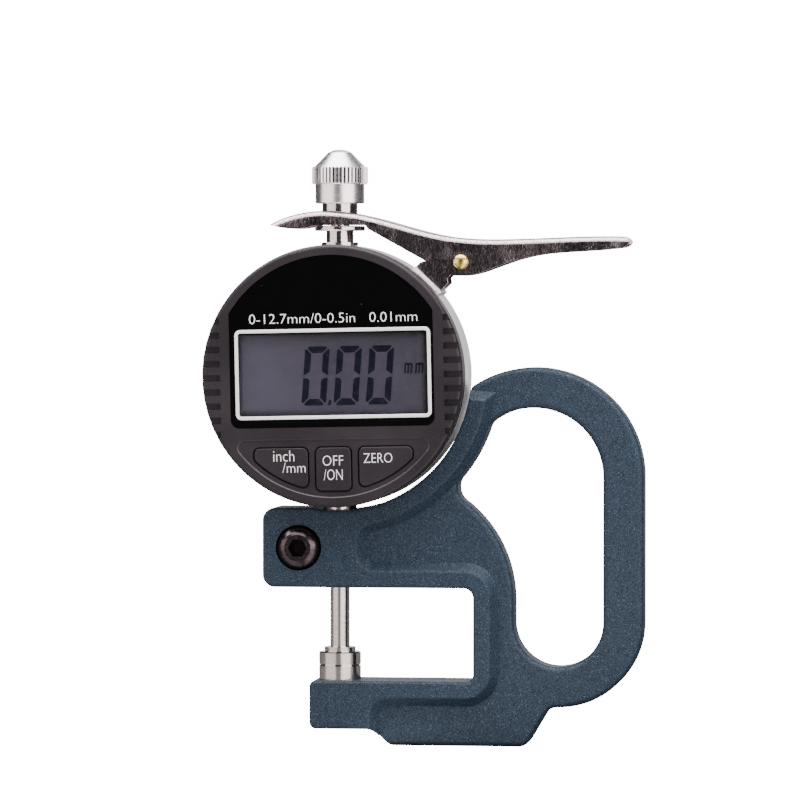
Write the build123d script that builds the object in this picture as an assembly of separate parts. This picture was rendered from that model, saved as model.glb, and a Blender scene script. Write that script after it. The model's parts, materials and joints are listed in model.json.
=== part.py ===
from build123d import *
import math
import os

# Digital thickness gauge on a cast frame with a finger loop.
# It stands on its foot, the display faces -Y and the handle lies towards +X.
# The origin is the centre of the anvil's measuring face, and +Z runs up the spindle.
# Lengths are millimetres and angles are degrees.

# Measuring contacts and spindle
TRAVEL = 12.7
SPINDLE_DIAMETER = 4.6
CONTACT_DIAMETER = 10.0
CONTACT_HEIGHT = 3.2
CONTACT_EDGE = 0.25
CONTACT_COLLAR_DIAMETER = 7.4
CONTACT_COLLAR_HEIGHT = 1.1
CONTACT_THREAD_DIAMETER = 2.5
CONTACT_THREAD_LENGTH = 4.5
ANVIL_HEIGHT = 3.4
ANVIL_SHANK_DIAMETER = 5.0
ANVIL_SHANK_LENGTH = 8.0

# Frame casting
BOSS_THICKNESS = 14.0
WEB_THICKNESS = 9.0
THROAT_DEPTH = 32.6
THROAT_HEIGHT = 22.1
UPPER_ARM_HEIGHT = 18.9
UPPER_ARM_REACH = 17.7
LOWER_ARM_HEIGHT = 11.5
LOWER_ARM_REACH = 6.5
LOWER_BLOCK_LENGTH = 16.5
BOSS_LENGTH = 24.7
FOOT_DROP = 4.0
FOOT_START = 12.3
FOOT_LENGTH = 32.6
FOOT_FLARE = 31.0
WEB_WIDTH = 9.4
LOOP_WIDTH = 21.2
LOOP_FLOOR = 0.1
LOOP_TOP_RADIUS = 16.4
LOOP_TOP_CENTRE = 45.0
HANDLE_BAR = 9.6
WEB_ARC_RADIUS = 29.7
WEB_ARC_HEIGHT = 15.7
NOTCH_RADIUS = 4.0
SADDLE_GAP = 1.0
SADDLE_DIP = 0.6
SADDLE_BAND = 6.1
SADDLE_BAND_END = 6.0
RIB_WIDTH = 6.0
STEP_DRAFT = 40.0
ARM_CORNER = 3.0
THROAT_UPPER_CORNER = 2.4
THROAT_LOWER_CORNER = 1.5
RIB_CORNER = 8.0
RECESS_CORNER = 2.0
WEB_EDGE = 1.2
BOSS_EDGE = 0.8

# Stem clamp
STEM_DIAMETER = 8.0
STEM_BORE = 5.4
STEM_RECESS = 0.5
STEM_TOP_IN_CASE = 8.0
CLAMP_SLIT = 1.0
CLAMP_INSET = 8.7
CLAMP_DIAMETER = 6.0
CLAMP_HEAD_DIAMETER = 10.5
CLAMP_HEAD_HEIGHT = 3.3
CLAMP_SEAT_DEPTH = 1.4
CLAMP_SOCKET = 4.0
CLAMP_SOCKET_DEPTH = 2.0
GUIDE_BUSH_DIAMETER = 6.5
GUIDE_BUSH_LENGTH = 6.0

# Indicator case
CASE_RADIUS = 31.0
CASE_WALL = 2.2
CASE_FRONT = 8.4
CASE_BACK = 6.2
CASE_WEB = 1.5
CASE_WEB_HOLE = 8.0
CASE_BOSS_WIDTH = 14.0
SPIGOT_STEP = 2.1
SPIGOT_WALL = 1.7
SPIGOT_LENGTH = 2.5
WIRE_SIZE = 0.8
WIRE_GAP_ANGLE = 12.0
COVER_THICKNESS = 2.2
COVER_INSET = 1.0
COVER_EDGE = 0.7
COVER_SCREW_INSET = 3.9
COVER_SCREW_ANGLE = 35.0
COVER_SCREW_DIAMETER = 2.0
COVER_SCREW_LENGTH = 6.0
POST_DIAMETER = 4.4

# Battery in the back of the case
BATTERY_DIAMETER = 20.0
BATTERY_THICKNESS = 3.2
BATTERY_OFFSET = 15.0
BATTERY_GAP = 0.3
TRAY_WALL = 0.9
TRAY_FLOOR = 0.5
TRAY_LIP = 0.6
CONTACT_SPRING_THICKNESS = 0.2
CAP_DIAMETER = 22.0
CAP_THICKNESS = 1.8
CAP_RECESS = 0.4
CAP_SLOT_LENGTH = 13.0
CAP_SLOT_WIDTH = 1.6
CAP_SLOT_DEPTH = 0.8

# Measuring system inside the case
BOARD_WIDTH = 13.6
BOARD_THICKNESS = 1.0
BOARD_PAD = 1.5
BOARD_BELOW = 17.7
BOARD_OVERRUN = 6.3
BOARD_SCREW_INSET = 2.2
BOARD_SCREW_DIAMETER = 2.0
SENSOR_GAP = 0.3
SCALE_PLATE = 0.4
SLIDER_WIDTH = 11.0
SLIDER_HEIGHT = 12.0
SLIDER_BELOW = 11.2
SLIDER_BACK = 2.3
SLIDER_ARM_REACH = 11.0
SLIDER_ARM_HEIGHT = 6.0
SLIDER_ARM_THICKNESS = 3.6
SLIDER_SCREW_DIAMETER = 2.0
GUIDE_ROD_DIAMETER = 2.0
GUIDE_ROD_OFFSET = 9.0
GUIDE_ROD_BELOW = 18.5
GUIDE_ROD_ABOVE = 22.5
LUG_SIZE = 3.6
LUG_HEIGHT = 3.0
SPRING_WIRE = 0.5
SPRING_DIAMETER = 5.9
SPRING_TURNS = 9

# Upper bushing, lifting cap and stop collar
BUSHING_DIAMETER = 6.5
BUSHING_DEPTH = 5.5
BUSHING_SHOULDER_DIAMETER = 8.8
BUSHING_SHOULDER_HEIGHT = 0.8
CASE_TOP_FLAT = 0.2
STOP_COLLAR_DIAMETER = 12.0
STOP_COLLAR_HEIGHT = 1.2
STOP_COLLAR_RISE = 3.5
NECK_DIAMETER = 8.4
NECK_LENGTH = 5.0
NECK_GAP = 0.3
CAP_STEM_DIAMETER = 11.7
CAP_STEM_HEIGHT = 4.6
KNURL_DIAMETER = 13.4
KNURL_HEIGHT = 4.2
KNURL_TEETH = 45
KNURL_DEPTH = 0.35
KNURL_EDGE = 0.3
CAP_CONE_HEIGHT = 3.3
CAP_TOP_DIAMETER = 5.7
CAP_DOME_HEIGHT = 0.8
CAP_THREAD_DIAMETER = 3.0
CAP_THREAD_LENGTH = 6.0

# Lifting lever and its bracket
LEVER_WIDTH = 12.0
LEVER_WALL = 1.0
LEVER_EDGE = 1.6
LEVER_PIVOT_ANGLE = 42.2
LEVER_PIVOT_STANDOFF = 9.07
LEVER_FORK_REACH = 16.2
LEVER_FORK_RISE = 0.3
LEVER_FORK_HOLLOW = (-11.1, -0.7)
LEVER_HUMP_RISE = 3.45
LEVER_SHOULDER = (-15.8, 9.2)
LEVER_NECK = (-5.0, 6.4)
LEVER_WAIST = (12.0, 5.4)
LEVER_THUMB_REACH = 38.4
LEVER_THUMB_RISE = 6.0
LEVER_THUMB_DEPTH = 2.6
LEVER_THUMB_LIP = 1.4
LEVER_BELLY_FRONT = (27.7, 2.45)
LEVER_BELLY_BACK = (15.5, 1.1)
LEVER_BELLY_SIDE = (7.6, -1.45)
LEVER_BELLY_LOW = (0.6, -3.3)
LEVER_BELLY_END = (-2.8, -2.95)
LEVER_KNEE_RUN = 0.7
LEVER_KNEE_DROP = 1.0
LEVER_FORK_WIDTH = 9.2
LEVER_FORK_END = 5.2
LEVER_COLLAR_GAP = 0.2
LEVER_COLLAR_SIDE_GAP = 0.8
PIVOT_DIAMETER = 2.4
PIVOT_HEAD_DIAMETER = 3.5
PIVOT_HEAD_HEIGHT = 0.8
BRACKET_ANGLE = 46.2
BRACKET_LENGTH = 8.8
BRACKET_PLATE = 1.0
BRACKET_SIDE_GAP = 0.3
BRACKET_SHEET = 1.0
BRACKET_EAR_RADIUS = 2.6
BRACKET_SIDE_HEIGHT = 1.9
BRACKET_FLAT = 0.3
BRACKET_SCREW_DIAMETER = 1.6
BRACKET_SCREW_HEAD = 2.8
BRACKET_SCREW_SPACING = 4.4

# Turning face: bezel, window, display and keys
FACE_TURN = 1.2
FACE_GAP = 0.2
BEZEL_DEPTH = 5.9
BEZEL_PLATE = 1.5
BEZEL_EDGE = 0.9
PANEL_RIM = 2.4
PANEL_WIDTH = 48.5
PANEL_BOTTOM = 12.0
PANEL_CORNER = 2.1
PANEL_THICKNESS = 0.8
PANEL_RECESS = 0.15
PANEL_GAP = 0.1
WINDOW_WIDTH = 45.1
WINDOW_HEIGHT = 19.7
WINDOW_RISE = 0.6
WINDOW_CORNER = 0.7
WINDOW_LEDGE = 0.4
LCD_MARGIN = 0.7
LCD_THICKNESS = 1.4
LCD_GAP = 0.1
ZEBRA_WIDTH = 1.2
ZEBRA_INSET = 1.5
DISPLAY_BOARD_RIM = 4.5
DISPLAY_BOARD_THICKNESS = 1.0
DISPLAY_BOARD_SETBACK = 2.0
DISPLAY_POST_DIAMETER = 3.2
DISPLAY_POST_TOP = (12.0, 20.0)
DISPLAY_POST_SIDE = (20.6, -13.5)
DISPLAY_SCREW_DIAMETER = 1.6
DISPLAY_SCREW_HEAD = 3.0
DISPLAY_SCREW_HEAD_HEIGHT = 0.9
KEY_FIELD_TOP = 14.6
KEY_FIELD_RIM = 2.3
KEY_FIELD_DEPTH = 0.3
KEY_FIELD_CORNER = 2.0
KEY_TOP = 16.8
KEY_RIM = 3.9
KEY_INNER = 6.1
KEY_OUTER = 18.8
KEY_MIDDLE_WIDTH = 8.3
KEY_MIDDLE_BOTTOM = 27.0
KEY_CORNER = 1.3
KEY_GAP = 0.35
KEY_PROUD = 0.15
KEY_FLANGE = 0.6
KEY_FLANGE_THICKNESS = 0.4
KEY_TRAVEL = 0.5
KEYPAD_THICKNESS = 0.9
KEYPAD_EDGE = 1.0
GRIP_COUNT = 9
GRIP_PITCH = 3.35
GRIP_WIDTH = 1.5
GRIP_DEPTH = 1.1
GRIP_LENGTH = 4.4

# Clearances shared by many pieces
PRESS_GAP = 0.01
RUNNING_GAP = 0.05
EASY_GAP = 0.2

# Heights that follow from the sizes above
ARM_BOTTOM = THROAT_HEIGHT - ANVIL_HEIGHT
ARM_TOP = ARM_BOTTOM + UPPER_ARM_HEIGHT
LOWER_ARM_TOP = -ANVIL_HEIGHT
LOWER_ARM_BOTTOM = LOWER_ARM_TOP - LOWER_ARM_HEIGHT
FOOT_BOTTOM = LOWER_ARM_BOTTOM - FOOT_DROP
SADDLE_RADIUS = CASE_RADIUS + SADDLE_GAP
HEAD_Z = ARM_TOP - SADDLE_DIP + SADDLE_RADIUS
BAND_RADIUS = SADDLE_RADIUS + SADDLE_BAND
CASE_INNER = CASE_RADIUS - CASE_WALL
CASE_TOP = HEAD_Z + CASE_RADIUS - CASE_TOP_FLAT
STEM_BOTTOM = ARM_BOTTOM + STEM_RECESS
STEM_TOP = HEAD_Z - CASE_RADIUS + STEM_TOP_IN_CASE
COLLAR_BOTTOM = CASE_TOP + STOP_COLLAR_RISE
COLLAR_TOP = COLLAR_BOTTOM + STOP_COLLAR_HEIGHT
NECK_BOTTOM = COLLAR_TOP + NECK_GAP
CAP_BOTTOM = NECK_BOTTOM + NECK_LENGTH
SPINDLE_BOTTOM = CONTACT_HEIGHT + CONTACT_COLLAR_HEIGHT
SLIDER_BOTTOM = HEAD_Z - SLIDER_BELOW
SLIDER_TOP = SLIDER_BOTTOM + SLIDER_HEIGHT
BOARD_ABOVE = SLIDER_HEIGHT - SLIDER_BELOW + TRAVEL + BOARD_OVERRUN
BUSHING_BOTTOM = CASE_TOP - BUSHING_DEPTH
PIVOT_RADIUS = CASE_RADIUS + LEVER_PIVOT_STANDOFF
LEVER_PIVOT_X = PIVOT_RADIUS * math.cos(math.radians(LEVER_PIVOT_ANGLE))
LEVER_PIVOT_Z = HEAD_Z + PIVOT_RADIUS * math.sin(math.radians(LEVER_PIVOT_ANGLE))

# Radii about the head that follow from the case
SPIGOT_RADIUS = CASE_RADIUS - SPIGOT_STEP
COVER_RADIUS = CASE_RADIUS - COVER_INSET
COVER_SCREW_RADIUS = CASE_RADIUS - COVER_SCREW_INSET
BEZEL_RADIUS = CASE_RADIUS
PANEL_RADIUS = BEZEL_RADIUS - PANEL_RIM
KEY_FIELD_RADIUS = BEZEL_RADIUS - KEY_FIELD_RIM
KEY_RADIUS = BEZEL_RADIUS - KEY_RIM
DISPLAY_BOARD_RADIUS = BEZEL_RADIUS - DISPLAY_BOARD_RIM
GRIP_INNER = BEZEL_RADIUS - GRIP_LENGTH

# Handle and loop positions that follow from the sizes above
WEB_RIGHT = THROAT_DEPTH + WEB_WIDTH
LOOP_RIGHT = WEB_RIGHT + LOOP_WIDTH
LOOP_TOP_X = LOOP_RIGHT - LOOP_TOP_RADIUS
LOOP_BOTTOM_RADIUS = LOOP_WIDTH / 2
LOOP_BOTTOM_X = WEB_RIGHT + LOOP_BOTTOM_RADIUS
LOOP_BOTTOM_CENTRE = LOOP_FLOOR + LOOP_BOTTOM_RADIUS
CLAMP_OFFSET = UPPER_ARM_REACH - CLAMP_INSET

# Depths from front (-Y) to back (+Y)
CASE_FRONT_Y = -CASE_FRONT
WEB_BACK_Y = CASE_FRONT_Y + CASE_WEB
BOARD_FRONT_Y = WEB_BACK_Y + BOARD_PAD
BOARD_BACK_Y = BOARD_FRONT_Y + BOARD_THICKNESS
SCALE_FRONT_Y = BOARD_BACK_Y + SENSOR_GAP
SLIDER_FRONT_Y = SCALE_FRONT_Y + SCALE_PLATE
COVER_BACK_Y = CASE_BACK + COVER_THICKNESS
CAP_BACK_Y = COVER_BACK_Y - CAP_RECESS
CAP_FRONT_Y = CAP_BACK_Y - CAP_THICKNESS
BATTERY_BACK_Y = CAP_FRONT_Y
BATTERY_FRONT_Y = BATTERY_BACK_Y - BATTERY_THICKNESS
TRAY_FRONT_Y = BATTERY_FRONT_Y - CONTACT_SPRING_THICKNESS - TRAY_FLOOR
BEZEL_BACK_Y = CASE_FRONT_Y - FACE_GAP
BEZEL_FRONT_Y = BEZEL_BACK_Y - BEZEL_DEPTH
PLATE_BACK_Y = BEZEL_FRONT_Y + BEZEL_PLATE
PANEL_FRONT_Y = BEZEL_FRONT_Y + PANEL_RECESS
PANEL_BACK_Y = PANEL_FRONT_Y + PANEL_THICKNESS
LCD_FRONT_Y = PLATE_BACK_Y + LCD_GAP
LCD_BACK_Y = LCD_FRONT_Y + LCD_THICKNESS
DISPLAY_BOARD_Y = PLATE_BACK_Y + DISPLAY_BOARD_SETBACK
DISPLAY_BOARD_BACK_Y = DISPLAY_BOARD_Y + DISPLAY_BOARD_THICKNESS
KEYPAD_FRONT_Y = DISPLAY_BOARD_Y - KEYPAD_THICKNESS
WIRE_Y = CASE_FRONT_Y - SPIGOT_LENGTH / 2


def box_xz(left, bottom, right, top):
    """Flat rectangle in X and Z between two corners."""
    return Pos((left + right) / 2, (bottom + top) / 2) * Rectangle(right - left, top - bottom)


def disc_xz(x, z, radius):
    """Flat disc in X and Z."""
    return Pos(x, z) * Circle(radius)


def slab(outline, front, back):
    """Solid with an X and Z outline that runs from y=front to y=back."""
    return Pos(0, back, 0) * extrude(Plane.XZ * outline, amount=back - front)


def barrel(x, z, radius, front, back):
    """Cylinder along Y."""
    return slab(disc_xz(x, z, radius), front, back)


def rod(radius, bottom, top, x=0.0):
    """Upright cylinder whose axis stands at x and y=0."""
    return Pos(x, 0, bottom) * Cylinder(radius, top - bottom, align=(Align.CENTER, Align.CENTER, Align.MIN))


def block(left, front, bottom, right, back, top):
    """Box between two corners."""
    return Pos(left, front, bottom) * Box(right - left, back - front, top - bottom, align=Align.MIN)


def turned(points):
    """Body of revolution about the spindle axis from (radius, height) points."""
    return revolve(Plane.XZ * make_face(Polyline(*points, close=True)), Axis.Z)


def nearest(shape, x, z):
    """Vertex of a flat outline closest to a place."""
    return min(shape.vertices(), key=lambda v: (v.X - x) ** 2 + (v.Y - z) ** 2)


def rounded(shape, corners):
    """Flat outline with the listed (x, z, radius) corners rounded."""
    for x, z, radius in corners:
        shape = fillet(nearest(shape, x, z), radius)
    return shape


def edges_at(shape, *depths):
    """Edges that lie in one of the planes y=depth."""
    return [e for e in shape.edges() if any(abs(e.center().Y - y) < 1e-4 and
            e.bounding_box().size.Y < 1e-4 for y in depths)]


def at_head(angle, radius):
    """Point at an angle and radius about the centre of the head, as (x, z)."""
    turn = math.radians(angle)
    return radius * math.cos(turn), HEAD_Z + radius * math.sin(turn)


# Frame casting

def loop_outline():
    """Finger loop, bounded on the left by the web's arc and by the saddle band."""
    far_left = LOOP_RIGHT - 2 * LOOP_WIDTH
    loop = disc_xz(LOOP_TOP_X, LOOP_TOP_CENTRE, LOOP_TOP_RADIUS)
    loop += disc_xz(LOOP_BOTTOM_X, LOOP_BOTTOM_CENTRE, LOOP_BOTTOM_RADIUS)
    loop += box_xz(far_left, LOOP_BOTTOM_CENTRE, LOOP_RIGHT, LOOP_TOP_CENTRE)
    turn = math.acos(LOOP_TOP_RADIUS / (LOOP_TOP_X - far_left))
    tangent = (LOOP_TOP_X - LOOP_TOP_RADIUS * math.cos(turn), LOOP_TOP_CENTRE + LOOP_TOP_RADIUS * math.sin(turn))
    loop += make_face(Polyline((far_left, LOOP_TOP_CENTRE), tangent, (LOOP_TOP_X, LOOP_TOP_CENTRE), close=True))
    loop -= disc_xz(0, HEAD_Z, BAND_RADIUS)
    loop -= disc_xz(WEB_RIGHT - WEB_ARC_RADIUS, WEB_ARC_HEIGHT, WEB_ARC_RADIUS)
    loop -= box_xz(far_left - LOOP_WIDTH, FOOT_BOTTOM, WEB_RIGHT, WEB_ARC_HEIGHT)
    return offset(offset(loop, -NOTCH_RADIUS), NOTCH_RADIUS)


def saddle_tip():
    """Point where the saddle's arc meets the outer arc of the handle, as (x, z)."""
    outer = LOOP_TOP_RADIUS + HANDLE_BAR
    across = LOOP_TOP_X
    down = HEAD_Z - LOOP_TOP_CENTRE
    apart = math.hypot(across, down)
    along = (apart ** 2 + SADDLE_RADIUS ** 2 - outer ** 2) / (2 * apart)
    aside = math.sqrt(SADDLE_RADIUS ** 2 - along ** 2)
    return (along * across + aside * down) / apart, HEAD_Z + (aside * across - along * down) / apart


def throat_outline():
    """Gap between the arms, open to the left."""
    throat = box_xz(-2 * UPPER_ARM_REACH, LOWER_ARM_TOP, THROAT_DEPTH, ARM_BOTTOM)
    return rounded(throat, [(THROAT_DEPTH, ARM_BOTTOM, THROAT_UPPER_CORNER),
                            (THROAT_DEPTH, LOWER_ARM_TOP, THROAT_LOWER_CORNER)])


def frame_outline():
    """Side view of the whole casting, with the throat, the saddle and the loop cut out."""
    foot_end = FOOT_START + FOOT_LENGTH
    flare = math.tan(math.radians(FOOT_FLARE))
    handle_right = LOOP_RIGHT + HANDLE_BAR
    tip_x, tip_z = saddle_tip()
    outline = disc_xz(LOOP_TOP_X, LOOP_TOP_CENTRE, LOOP_TOP_RADIUS + HANDLE_BAR)
    outline += disc_xz(LOOP_BOTTOM_X, LOOP_BOTTOM_CENTRE, LOOP_BOTTOM_RADIUS + HANDLE_BAR)
    outline += box_xz(THROAT_DEPTH, LOOP_BOTTOM_CENTRE, handle_right, LOOP_TOP_CENTRE)
    outline += box_xz(THROAT_DEPTH - RIB_WIDTH, LOWER_ARM_BOTTOM, WEB_RIGHT, LOOP_TOP_CENTRE)
    outline += box_xz(0, ARM_BOTTOM, THROAT_DEPTH, tip_z - 2 * WEB_EDGE)
    outline += box_xz(-UPPER_ARM_REACH, ARM_BOTTOM, THROAT_DEPTH, ARM_TOP)
    outline += box_xz(-LOWER_ARM_REACH, LOWER_ARM_BOTTOM, THROAT_DEPTH, LOWER_ARM_TOP)
    outline += make_face(Polyline((FOOT_START - FOOT_DROP, LOWER_ARM_BOTTOM), (FOOT_START, FOOT_BOTTOM),
                                  (foot_end, FOOT_BOTTOM),
                                  (foot_end + flare * (LOOP_FLOOR - FOOT_BOTTOM), LOOP_FLOOR),
                                  (THROAT_DEPTH, LOOP_FLOOR), close=True))
    outline -= disc_xz(0, HEAD_Z, SADDLE_RADIUS)
    outline -= throat_outline()
    handle_bottom = LOOP_FLOOR - HANDLE_BAR
    outline = rounded(outline, [
        (-UPPER_ARM_REACH, ARM_TOP, ARM_CORNER),
        (-UPPER_ARM_REACH, ARM_BOTTOM, ARM_CORNER),
        (-LOWER_ARM_REACH, LOWER_ARM_TOP, THROAT_LOWER_CORNER),
        (-LOWER_ARM_REACH, LOWER_ARM_BOTTOM, THROAT_LOWER_CORNER),
        (FOOT_START - FOOT_DROP, LOWER_ARM_BOTTOM, ARM_CORNER),
        (FOOT_START, FOOT_BOTTOM, ARM_CORNER),
        (foot_end, FOOT_BOTTOM, ARM_CORNER),
        (foot_end + flare * (handle_bottom - FOOT_BOTTOM), handle_bottom, ARM_CORNER),
        (tip_x, tip_z, WEB_EDGE)])
    return outline - loop_outline()


def ridge_outline():
    """Thick part of the casting at the foot of its drafted step, before trimming to the side view."""
    over = 2 * BOSS_THICKNESS
    spread = (BOSS_THICKNESS - WEB_THICKNESS) / 2
    boss_right = BOSS_LENGTH - UPPER_ARM_REACH
    rib_top = ARM_BOTTOM + RIB_WIDTH
    rib_bottom = LOWER_ARM_TOP - RIB_WIDTH
    rib_right = THROAT_DEPTH + RIB_WIDTH
    block_right = LOWER_BLOCK_LENGTH - LOWER_ARM_REACH
    ring = box_xz(0, rib_bottom, rib_right, rib_top)
    ring = rounded(ring, [(rib_right, rib_top, RIB_CORNER), (rib_right, rib_bottom, RIB_CORNER)])
    far = 2 * BAND_RADIUS
    end_drop = far * math.tan(math.radians(SADDLE_BAND_END))
    sector = make_face(Polyline((0, HEAD_Z), (0, HEAD_Z - far), (far, HEAD_Z - far), (far, HEAD_Z - end_drop),
                                close=True))
    band = (disc_xz(0, HEAD_Z, BAND_RADIUS) - disc_xz(0, HEAD_Z, SADDLE_RADIUS - 2 * spread)) & sector
    shape = box_xz(-UPPER_ARM_REACH - over, LOWER_ARM_TOP - over, boss_right, ARM_TOP + 2 * spread)
    shape -= box_xz(block_right, LOWER_ARM_TOP - 2 * over, over, rib_bottom)
    shape += box_xz(0, LOWER_ARM_BOTTOM - spread, block_right, LOWER_ARM_TOP)
    shape += ring + band
    join = math.sqrt(BAND_RADIUS ** 2 - boss_right ** 2)
    return rounded(shape, [(boss_right, rib_top, RECESS_CORNER), (boss_right, HEAD_Z - join, RECESS_CORNER),
                           (block_right, rib_bottom, RECESS_CORNER)])


def make_frame():
    """One casting: a web with rounded edges, and a thicker ridge over the boss, saddle and throat."""
    outline = frame_outline()
    web = slab(outline, -WEB_THICKNESS / 2, WEB_THICKNESS / 2)
    web = fillet(edges_at(web, -WEB_THICKNESS / 2, WEB_THICKNESS / 2), WEB_EDGE)
    step = (BOSS_THICKNESS - WEB_THICKNESS) / 2
    ridge = slab(ridge_outline(), -BOSS_THICKNESS / 2, BOSS_THICKNESS / 2)
    for depth in (-BOSS_THICKNESS / 2, BOSS_THICKNESS / 2):
        face = [f for f in ridge.faces() if abs(f.center().Y - depth) < 1e-4][0]
        ridge = chamfer(face.edges(), step * math.tan(math.radians(STEP_DRAFT)), step, reference=face)
    ridge &= slab(outline, -BOSS_THICKNESS / 2, BOSS_THICKNESS / 2)
    ridge = fillet(edges_at(ridge, -BOSS_THICKNESS / 2, BOSS_THICKNESS / 2), BOSS_EDGE)
    casting = web + ridge
    casting -= rod(STEM_DIAMETER / 2 + PRESS_GAP, ARM_BOTTOM - 1, ARM_TOP + SADDLE_RADIUS)
    casting -= block(-UPPER_ARM_REACH - 1, -CLAMP_SLIT / 2, ARM_BOTTOM - 1, 0, CLAMP_SLIT / 2, ARM_TOP + 1)
    clamp_z = clamp_height()
    front = -BOSS_THICKNESS / 2
    casting -= barrel(-CLAMP_OFFSET, clamp_z, CLAMP_HEAD_DIAMETER / 2 + EASY_GAP, front - 1, front + CLAMP_SEAT_DEPTH)
    casting -= barrel(-CLAMP_OFFSET, clamp_z, CLAMP_DIAMETER / 2 + EASY_GAP, front, 0)
    casting -= barrel(-CLAMP_OFFSET, clamp_z, CLAMP_DIAMETER / 2 + PRESS_GAP, 0, BOSS_THICKNESS)
    casting -= rod(ANVIL_SHANK_DIAMETER / 2 + PRESS_GAP, LOWER_ARM_TOP - ANVIL_SHANK_LENGTH - EASY_GAP,
                   LOWER_ARM_TOP + 1)
    return casting


def clamp_height():
    """Height of the clamp screw, half way up the boss."""
    return ARM_BOTTOM + UPPER_ARM_HEIGHT / 2


def make_anvil():
    """Fixed lower contact: a flat disc on a shank pressed into the lower arm."""
    radius = CONTACT_DIAMETER / 2
    shank = ANVIL_SHANK_DIAMETER / 2
    bottom = LOWER_ARM_TOP - ANVIL_SHANK_LENGTH
    return turned([(0, bottom), (shank, bottom), (shank, LOWER_ARM_TOP), (radius, LOWER_ARM_TOP),
                   (radius, -CONTACT_EDGE), (radius - CONTACT_EDGE, 0), (0, 0)])


def make_clamp_screw():
    """Button-head screw that pinches the split boss on the stem."""
    seat = -BOSS_THICKNESS / 2 + CLAMP_SEAT_DEPTH
    radius = CLAMP_HEAD_DIAMETER / 2
    top = CLAMP_HEAD_DIAMETER * 0.3
    dome = make_face(Line((0, 0), (radius, 0)) + Line((radius, 0), (radius, CLAMP_HEAD_HEIGHT * 0.25))
                     + ThreePointArc((radius, CLAMP_HEAD_HEIGHT * 0.25),
                                     (radius * 0.86, CLAMP_HEAD_HEIGHT * 0.72), (top, CLAMP_HEAD_HEIGHT))
                     + Line((top, CLAMP_HEAD_HEIGHT), (0, CLAMP_HEAD_HEIGHT))
                     + Line((0, CLAMP_HEAD_HEIGHT), (0, 0)))
    head = revolve(Plane.XZ * dome, Axis.Z)
    head -= Pos(0, 0, CLAMP_HEAD_HEIGHT - CLAMP_SOCKET_DEPTH) * extrude(
        RegularPolygon(CLAMP_SOCKET / 2, 6, major_radius=False), amount=CLAMP_SOCKET_DEPTH)
    head = Pos(-CLAMP_OFFSET, seat, clamp_height()) * Rot(90, 0, 0) * head
    tip = BOSS_THICKNESS / 2 - EASY_GAP
    return head + barrel(-CLAMP_OFFSET, clamp_height(), CLAMP_DIAMETER / 2, seat, tip)


# Indicator case and what is fixed in it

def cover_screw_places():
    """The four screw places of the back cover, as (x, z)."""
    angles = [COVER_SCREW_ANGLE, 180 - COVER_SCREW_ANGLE, 180 + COVER_SCREW_ANGLE, 360 - COVER_SCREW_ANGLE]
    return [at_head(angle, COVER_SCREW_RADIUS) for angle in angles]


def rod_lugs():
    """Heights of the two lugs that hold the guide rod, bottom of each."""
    return HEAD_Z - GUIDE_ROD_BELOW, HEAD_Z + GUIDE_ROD_ABOVE - LUG_HEIGHT


def board_screw_heights():
    """Heights of the two screws of the sensor board."""
    return HEAD_Z - BOARD_BELOW + BOARD_SCREW_INSET, HEAD_Z + BOARD_ABOVE - BOARD_SCREW_INSET


def bracket_frame():
    """Local frame of the lever bracket: X along the rim, Y across the gauge, Z away from the head."""
    x, z = at_head(BRACKET_ANGLE, CASE_RADIUS - BRACKET_FLAT)
    out = math.radians(BRACKET_ANGLE)
    return Plane(origin=(x, 0, z), x_dir=(math.sin(out), 0, -math.cos(out)), z_dir=(math.cos(out), 0, math.sin(out)))


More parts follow.
